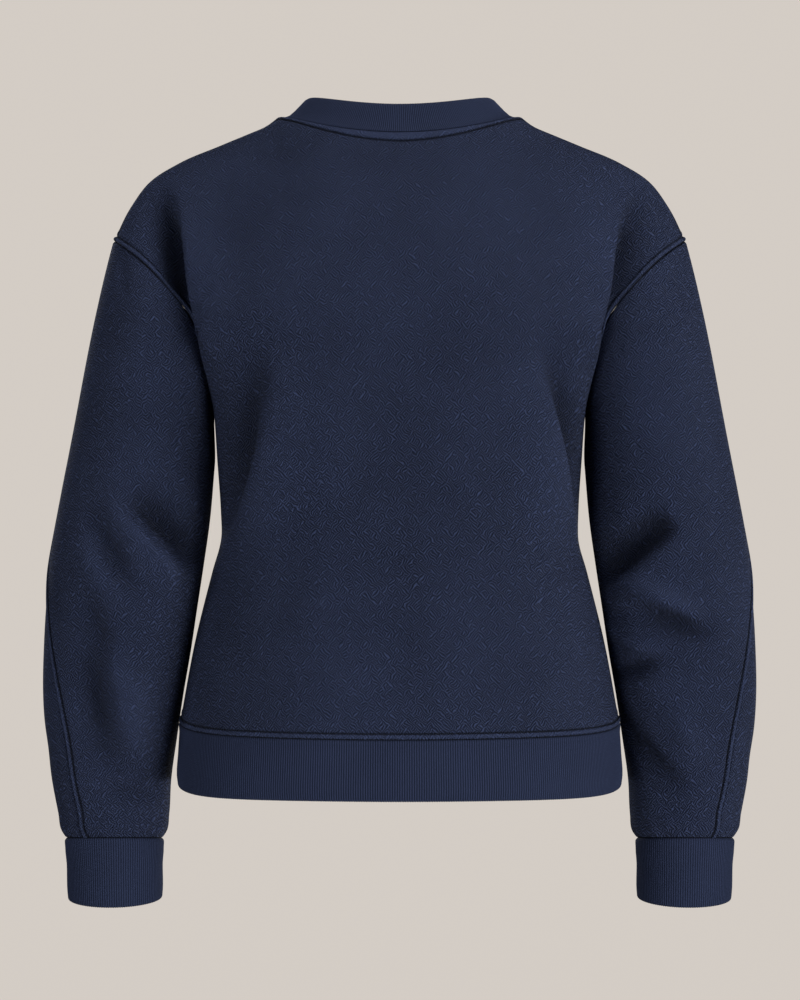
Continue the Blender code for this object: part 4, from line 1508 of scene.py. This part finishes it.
@dataclass
class SleevePiece(FleecePiece):
    """The back or the front piece of one sleeve, gathered a little into its cuff."""

    arm: Arm = Arm.LEFT
    length: float = 540.0
    girth: float = 225.0
    stitch_pitch: float = 2.4
    tilt_heights: tuple[float, float] = (560.0, 632.0)
    gather: float = 0.35
    gather_length: float = 16.0
    gather_start: float = 6.0
    # how many gathers go round, how strong they are and where they start
    gathers: tuple[tuple[int, float, float], ...] = ((17, 1.0, 0.0), (11, 0.6, 1.3), (23, 0.4, 0.4))
    arm_hold: float = 0.03

    def ring(self, around: Array, station: Array) -> Array:
        """Lay out the tube below the underarm, on the wearer's left.

        Args:
            around: Places from the outer seam (0) to the underarm seam (1).
            station: Lengths down the tube.

        Returns:
            One point for each place.
        """
        table = np.array(SLEEVE_ROWS)
        rows = smooth_between(running_length(table[:, :2]), table, station)
        seam = np.radians(rows[:, 6]) * self.facing.value
        angle = seam + (math.pi - seam) * around
        lean = np.radians(rows[:, 5])
        outward = rows[:, 3] * np.cos(angle)
        out = self.facing.value * rows[:, 4] * np.sin(angle)
        tilt = CUFF_TILT * smooth_step(*self.tilt_heights, -rows[:, 0])
        height = rows[:, 0] + outward * np.sin(lean) + out * tilt
        return np.column_stack([rows[:, 1] + outward * np.cos(lean), rows[:, 2] + out, height])

    def point(self, around: Array, along: Array) -> Array:
        """Lay out the outer face, on the wearer's left.

        Args:
            around: Places from the outer seam (0) to the underarm seam (1).
            along: Places from the armhole (0) to the cuff (1).

        Returns:
            One point for each place.
        """
        table = np.array(SLEEVE_ROWS)
        full = running_length(table[:, :2])[-1]
        tube = self.ring(around, np.maximum(along - CAP_SHARE, 0.0) / (1 - CAP_SHARE) * full)
        t = np.minimum(along / CAP_SHARE, 1.0)[:, None]
        start = FORMS[self.facing].armhole(around)
        start[:, 0] += UNDERARM_GAP * around**3
        first = self.ring(around, np.zeros(len(around)))
        reach = np.linalg.norm(first - start, axis=1, keepdims=True)
        starts = np.array(SLEEVE_STARTS)
        leaving = unit(smooth_between(starts[:, 0], starts[:, 1:], around)) * self.facing.flip * reach
        arriving = unit(self.ring(around, np.ones(len(around))) - first) * reach
        from_start, from_leaving, from_first, from_arriving = blend_weights(t)
        cap = from_start * start + from_leaving * leaving
        cap += from_first * first + from_arriving * arriving
        return np.where((along >= CAP_SHARE)[:, None], tube, cap)

    def gathered(self, points: Array, alongs: Array) -> Array:
        """Gather the cloth above the cuff.

        Args:
            points: The points of the sheet.
            alongs: The place of each from the armhole (0) to the cuff (1).

        Returns:
            How far each point stands proud.
        """
        below = (1.0 - alongs) * self.length
        turn = np.arctan2(points[..., 1], points[..., 0] - CUFF_ACROSS * self.arm.value)
        ripple = sum(share * np.sin(count * turn + start) for count, share, start in self.gathers)
        ripple = self.gather * ripple * mound(below, self.gather_length)
        return ripple * smooth_step(0.0, self.gather_start, below)

    def build(self, shop: Workshop) -> Piece:
        """Make the piece with its creases, seams and stitches and hang it in the model.

        Args:
            shop: The materials and tools.

        Returns:
            The finished piece.
        """
        around = graded_stops(self.girth, self.step, self.fine, True, True) / self.girth
        along = graded_stops(self.length, self.step, self.fine, True, True) / self.length
        shape = (len(along), len(around))
        arounds, alongs = np.broadcast_to(around, shape), np.broadcast_to(along[:, None], shape)
        points = self.point(arounds.ravel(), alongs.ravel()).reshape(*shape, 3) * self.arm.flip
        grid = Grid(points, self.facing.value * self.arm.value)
        grid.fold(SLEEVE_CREASES[self.arm], smooth_step(0.0, self.arm_hold, alongs))
        grid.swell(self.gathered(points, alongs))
        to_arm, to_cuff = grid.distance(grid.points[0]), grid.distance(grid.points[-1])
        to_outer, to_under = grid.distance(grid.points[:, 0]), grid.distance(grid.points[:, -1])
        padded = self.facing is Facing.BACK
        seams = [(PLAIN_SEAM, far, 1.0) for far in (to_arm, to_under, to_cuff)]
        seams.append((STRIP_SEAM, to_outer, SLEEVE_STRIP) if padded else (PLAIN_SEAM, to_outer, 1.0))
        node = f"sleeve_{self.arm.name.lower()}_{self.facing.name.lower()}"
        piece = self.press(shop, f"{node}_cloth", grid, seams)
        if padded:
            line = StitchLine.where(grid, to_outer - SLEEVE_STRIP, False, self.stitch_pitch)
            shop.sew(f"{node}_stitches", [line], TOP_STITCH)
        hang(piece, node, self.cut)
        return piece


# ---------------------------------------------------------------- bands
EVEN_STEPS = 2880


@dataclass
class RibBand:
    """A folded band of rib knit, closed round an opening, from its seam to its folded edge.

    Its outer face is drawn in to the seam by `sink` and puffs out past it by `puff`.
    """

    node: str
    cut: Cut
    height: float
    wales: int
    on: str
    wall: float = 2.8
    tuck: float = 1.8
    tuck_depth: float = 0.8
    rib_height: float = 0.55
    columns_per_wale: int = 6
    outward: float = 1.0
    sink: float = 0.3
    sink_width: float = 0.8
    puff: float = 0.9
    puff_place: float = 2.8
    puff_width: float = 2.4
    # lengths from the seam: the close rows beside it, then where the plain rows start and their step
    seam_rows: tuple[float, ...] = (0.0, 0.7, 1.5, 2.6, 4.5)
    plain_start: float = 8.0
    plain_step: float = 5.0
    fold_angles: tuple[float, ...] = (35.0, 70.0, 110.0, 145.0)
    # how much of the ribs the seam presses flat and how strong the painted shade along it is, each with its
    # reach
    flattened: tuple[float, float] = (0.8, 1.4)
    painted_seam_shade: tuple[float, float] = (0.8, 0.5)

    def surface(self, t: Array, u: float) -> Array:
        """Lay out the outer face.

        Args:
            t: Places from 0 to 1 once round the band.
            u: Share of its height, from the seam (0) to the fold (1).

        Returns:
            One point for each place.
        """
        raise NotImplementedError

    def even_places(self) -> Array:
        """Find places round the band that lie evenly along its middle.

        Returns:
            A fixed number of places for each wale.
        """
        t = np.linspace(0.0, 1.0, EVEN_STEPS + 1)
        middle = self.surface(t[:-1], 0.5)
        lengths = running_length(np.concatenate([middle, middle[:1]]))
        count = self.wales * self.columns_per_wale
        return np.interp(np.arange(count) / count * lengths[-1], lengths, t)

    def folded(self, t: Array, down: Array) -> Array:
        """Lay out the band's skin: the tuck behind the seam, the outer face, the fold and the inside.

        Args:
            t: Places round the band.
            down: Lengths of the outer rows from the seam.

        Returns:
            Rows of points.
        """
        radius = self.wall / 2
        outer = Grid(np.stack([self.surface(t, u) for u in down / self.height]), self.outward, closed=True)
        seam = self.puff * mound(down, self.puff_width, self.puff_place)
        seam = seam - self.sink * mound(down, self.sink_width)
        outer.swell(np.broadcast_to(seam[:, None], outer.points.shape[:2]))
        normals = outer.normals()
        last, heading = outer.points[-1], unit(outer.points[-1] - outer.points[-2])
        leaving = unit(outer.points[1] - outer.points[0])
        rows = [outer.points[0] - leaving * self.tuck - normals[0] * self.tuck_depth, *outer.points]
        centre = last - normals[-1] * radius
        for angle in np.radians(self.fold_angles):
            rows.append(centre + radius * (normals[-1] * math.cos(angle) + heading * math.sin(angle)))
        inner = (outer.points - normals * self.wall)[::-1]
        return np.stack(rows + list(inner[[0, *range(1, len(inner) - 1, 2), len(inner) - 1]]))

    def build(self, shop: Workshop) -> Piece:
        """Make the folded band, raise its wales and hang it in the model.

        Args:
            shop: The materials and tools.

        Returns:
            The finished band.
        """
        t = self.even_places()
        last = self.height - self.wall / 2
        down = np.array([*self.seam_rows, *np.arange(self.plain_start, last - 2.0, self.plain_step), last])
        points = self.folded(t, down)
        rows, count = len(points), len(t)
        low, high = np.arange(count), np.arange(count) + (rows - 1) * count
        closing = np.stack([high, low, np.roll(low, -1), np.roll(high, -1)], axis=1)
        faces = Grid(points, self.outward, closed=True).faces()
        faces = np.concatenate([faces, closing if self.outward > 0 else closing[:, ::-1]])
        outer = slice(1, len(down) + 1)
        hold, crevice = np.ones(rows), np.zeros(rows)
        (flat, flat_reach), (dark, dark_reach) = self.flattened, self.painted_seam_shade
        hold[0], hold[outer] = 0.0, 1.0 - flat * mound(down, flat_reach)
        # painted shade: full in the tuck behind the seam and fading down the outer face from it
        crevice[0], crevice[outer] = 1.0, dark * mound(down, dark_reach)
        values = {key: np.repeat(value, count) for key, value in (("hold", hold), ("crevice", crevice))}
        values["course"] = np.repeat(running_length(points[:, 0]), count)
        values["around"] = np.tile(np.arange(count) / count, rows)
        piece = piece_from(f"{self.node}_cloth", points.reshape(-1, 3), faces, values)
        shop.knitter.run(piece, Wales=float(self.wales), Height=self.rib_height * MM, Material=shop.rib)
        hang(piece, self.node, self.cut)
        return piece


@dataclass
class BodyBand(RibBand):
    """A band round the body, drawn as halves of the back and the front."""

    def half(self, facing: Facing, share: Array, u: float) -> Array:
        """Lay out one half on the wearer's left, as if it were on the back.

        Args:
            facing: Whether it is the back or the front.
            share: Places from the centre line (0) to the side (1).
            u: Share of the band's height.

        Returns:
            One point for each place.
        """
        raise NotImplementedError

    def surface(self, t: Array, u: float) -> Array:
        """Lay out the outer face from the centre back, by the wearer's left.

        Args:
            t: Places from 0 to 1 once round the band.
            u: Share of its height, from the seam (0) to the fold (1).

        Returns:
            One point for each place.
        """
        quarter = np.floor(t * 4).astype(int) % 4
        part = t * 4 - np.floor(t * 4)
        share = np.where(quarter % 2 == 0, part, 1.0 - part)
        front = (quarter == 1) | (quarter == 2)
        made = np.empty((len(t), 3))
        for facing, mask in zip(Facing, (~front, front)):
            made[mask] = self.half(facing, share[mask], u) * facing.flip
        made[:, 0] *= np.where(quarter < 2, 1.0, -1.0)
        return made


@dataclass
class Neckband(BodyBand):
    """The crew neck's band, which leans in from the neck seam to its folded edge."""

    top_half_width: float = 80.0
    top_depths: tuple[float, float] = (57.0, 67.0)
    top_heights: tuple[float, float] = (3.0, -60.0)
    top_side_height: float = 17.5
    bulge_rise: float = 0.6

    def half(self, facing: Facing, share: Array, u: float) -> Array:
        """Lay out one half on the wearer's left, as if it were on the back.

        Args:
            facing: Whether it is the back or the front.
            share: Places from the centre line (0) to the side (1).
            u: Share of the band's height.

        Returns:
            One point for each place.
        """
        stops = np.linspace(0, 1, len(NECKBAND_ROWS))
        inward, upward, bulge = smooth_between(stops, np.array(NECKBAND_ROWS), np.array([u]))[0]
        half = 0 if facing is Facing.BACK else 1
        depth, low = self.top_depths[half], self.top_heights[half]
        form, angle = FORMS[facing], share * math.pi / 2
        seam = form.neck(share)
        height = low + (self.top_side_height - low) * np.sin(angle) ** form.neck_roundness
        top = np.column_stack([self.top_half_width * np.sin(angle), depth * np.cos(angle), height])
        out = unit(np.column_stack([np.sin(angle), np.cos(angle), np.full(len(share), self.bulge_rise)]))
        return seam + (top - seam) * np.array([inward, inward, upward]) + out * bulge


@dataclass
class HemBand(BodyBand):
    """The wide band round the lower edge of the body."""

    def half(self, facing: Facing, share: Array, u: float) -> Array:
        """Lay out one half on the wearer's left, as if it were on the back.

        Args:
            facing: Whether it is the back or the front.
            share: Places from the centre line (0) to the side (1).
            u: Share of the band's height.

        Returns:
            One point for each place.
        """
        table = np.array(HEM_ROWS)
        sizes = smooth_between(running_length(table[:, :1]), table, np.array([u * self.height]))[0]
        height, side_height, half_width, *depths = sizes
        rows = np.tile(FORMS[facing].table[-1], (len(share), 1))
        rows[:, 0] = depths[0] if facing is Facing.BACK else depths[1]
        rows[:, 1], rows[:, 2], rows[:, 4] = height, half_width, side_height
        place = section_points(rows, share)
        place[:, 2] -= hem_dip(share)
        return place


@dataclass
class Cuff(RibBand):
    """The band round one wrist."""

    rib_height: float = 0.36
    arm: Arm = Arm.LEFT

    def surface(self, t: Array, u: float) -> Array:
        """Lay out the outer face from the outer side of the wrist, by the back.

        Args:
            t: Places from 0 to 1 once round the band.
            u: Share of its height, from the seam (0) to the fold (1).

        Returns:
            One point for each place.
        """
        table = np.array(CUFF_ROWS)
        sizes = smooth_between(running_length(table[:, :1]), table, np.array([u * self.height]))[0]
        height, across, depth, half_width, half_depth, lean = sizes
        angle = t * 2 * math.pi
        out = half_depth * np.sin(angle)
        drop = out * math.sin(math.radians(lean))
        made = np.column_stack([across + half_width * np.cos(angle), depth + out, height - drop])
        return made * self.arm.flip


# ---------------------------------------------------------------- the studio
@dataclass
class SoftBox:
    """A square soft light that looks at the garment."""

    place: tuple[float, float, float]
    size: float
    power: float
    tint: Colour = (1.0, 0.985, 0.96)
    target: tuple[float, float, float] = (0.0, 0.0, -0.3)

    def hang_up(self) -> Piece:
        """Add the light, turned towards its target.

        Returns:
            The light.
        """
        data = bpy.data.lights.new("soft_box", "AREA")
        data.size, data.energy, data.color = self.size, self.power, self.tint
        light = bpy.data.objects.new("soft_box", data)
        light.location = self.place
        from_target = Vector(self.place) - Vector(self.target)
        light.rotation_euler = from_target.to_track_quat("Z", "Y").to_euler()
        bpy.context.scene.collection.objects.link(light)
        return light


@dataclass
class Studio:
    """Pale seamless floor and backdrop, soft lights and the camera, in metres."""

    paper: Colour = (0.679, 0.628, 0.578)
    paper_shade: float = 0.1
    glow: float = 0.955
    spill: float = 0.055
    floor_height: float = -1.9
    floor_radius: float = 3.0
    room_radius: float = 8.0
    cove: float = 3.0
    wall_height: float = 4.5
    dome: float = 4.0
    arc_points: int = 13
    sides: int = 64
    camera_distance: float = 1.8
    camera_across: float = -0.0003
    camera_height: float = -0.3344
    view_height: float = 0.88
    lights: tuple[SoftBox, ...] = (
        SoftBox((-1.92, 1.70, -0.85), 1.3, 38.0),
        SoftBox((-1.27, 2.20, -0.87), 0.9, 15.0),
        SoftBox((1.27, 2.20, -0.87), 0.9, 15.5),
        SoftBox((-0.58, 0.34, 2.18), 0.9, 30.0),
        SoftBox((2.12, 1.22, 0.56), 0.9, 12.0),
        SoftBox((1.2, -2.2, 0.3), 1.2, 26.0),
        SoftBox((-1.0, -2.3, -0.9), 1.2, 22.0),
    )

    def paper_finish(self) -> bpy.types.Material:
        """Build the paper's material, lit from behind for the camera alone.

        Returns:
            The material.
        """
        material = bpy.data.materials.new("paper")
        material.use_nodes = True
        tree = material.node_tree
        shader = tree.nodes["Principled BSDF"]
        shader.inputs["Base Color"].default_value = (*(c * self.paper_shade for c in self.paper), 1.0)
        shader.inputs["Roughness"].default_value = 1.0
        shader.inputs["Specular IOR Level"].default_value = 0.0
        shader.inputs["Emission Color"].default_value = (*self.paper, 1.0)
        seen = put(tree, "ShaderNodeLightPath").outputs["Is Camera Ray"]
        glow = put(tree, "ShaderNodeMapRange", {"Value": seen, "To Min": self.spill, "To Max": self.glow})
        tree.links.new(glow.outputs["Result"], shader.inputs["Emission Strength"])
        material.cycles.emission_sampling = "NONE"
        return material

    def sweep(self) -> Piece:
        """Make the floor, which curves up into a backdrop all round and closes overhead.

        Returns:
            The sweep.
        """
        angle = np.linspace(0.0, math.pi / 2, self.arc_points)
        low, wide = self.floor_height, self.room_radius
        start = wide - self.cove
        profile = [(0.0, low), (self.floor_radius, low)]
        profile += [(start + self.cove * math.sin(a), low + self.cove * (1 - math.cos(a))) for a in angle]
        profile += [(wide * math.cos(a), low + self.wall_height + self.dome * math.sin(a)) for a in angle]
        turns = np.linspace(0.0, 2 * math.pi, self.sides + 1)[:-1]
        points = np.array([[(r * math.cos(a), r * math.sin(a), z) for a in turns] for r, z in profile]) / MM
        made = piece_from("sweep", points.reshape(-1, 3), Grid(points, 1.0, closed=True).faces(), {})
        made.data.materials.append(self.paper_finish())
        return made

    def camera(self) -> Piece:
        """Set a level camera square on to the back of the garment.

        Returns:
            The camera.
        """
        data = bpy.data.cameras.new("camera")
        data.lens = data.sensor_width / 2 / (self.view_height / 2 / self.camera_distance)
        camera = bpy.data.objects.new("camera", data)
        camera.location = (self.camera_across, self.camera_distance, self.camera_height)
        camera.rotation_euler = (math.pi / 2, 0.0, math.pi)
        bpy.context.scene.collection.objects.link(camera)
        bpy.context.scene.camera = camera
        return camera

    def build(self) -> None:
        """Set the studio up."""
        scene = bpy.context.scene
        scene.view_settings.view_transform = "Standard"
        world = bpy.data.worlds.new("studio")
        world.use_nodes = True
        world.node_tree.nodes["Background"].inputs["Color"].default_value = (*self.paper, 1.0)
        scene.world = world
        self.sweep()
        for light in self.lights:
            light.hang_up()
        self.camera()
        LOG.info("studio: %d lights", len(self.lights))


def main() -> None:
    """Build the studio and the garment's pieces, in order."""
    logging.basicConfig(level=logging.INFO, format="%(message)s")
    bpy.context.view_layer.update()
    Studio().build()
    shop = Workshop.open()
    Neckband("neckband", Cut(0.56, 0.03, 0.0168), 30.0, 340, "back_cloth").build(shop)
    BodyPanel(Facing.BACK, Cut(0.53, 0.60, 0.25)).build(shop)
    BodyPanel(Facing.FRONT, Cut(0.53, 0.60, 0.24)).build(shop)
    cuff_cut, hem_cut = Cut(0.255, 0.056, 0.0142), Cut(1.01, 0.053, 0.0535)
    for arm in Arm:
        side = arm.name.lower()
        SleevePiece(Facing.BACK, Cut(0.23, 0.56, 0.085), arm=arm).build(shop)
        SleevePiece(Facing.FRONT, Cut(0.24, 0.56, 0.10), arm=arm).build(shop)
        on = f"sleeve_{side}_back_cloth"
        Cuff(f"cuff_{side}", cuff_cut, 54.5, 120, on, outward=arm.value, arm=arm).build(shop)
    HemBand("hem_band", hem_cut, 51.0, 500, "back_cloth", columns_per_wale=5, outward=-1.0).build(shop)


if __name__ == "__main__":
    main()
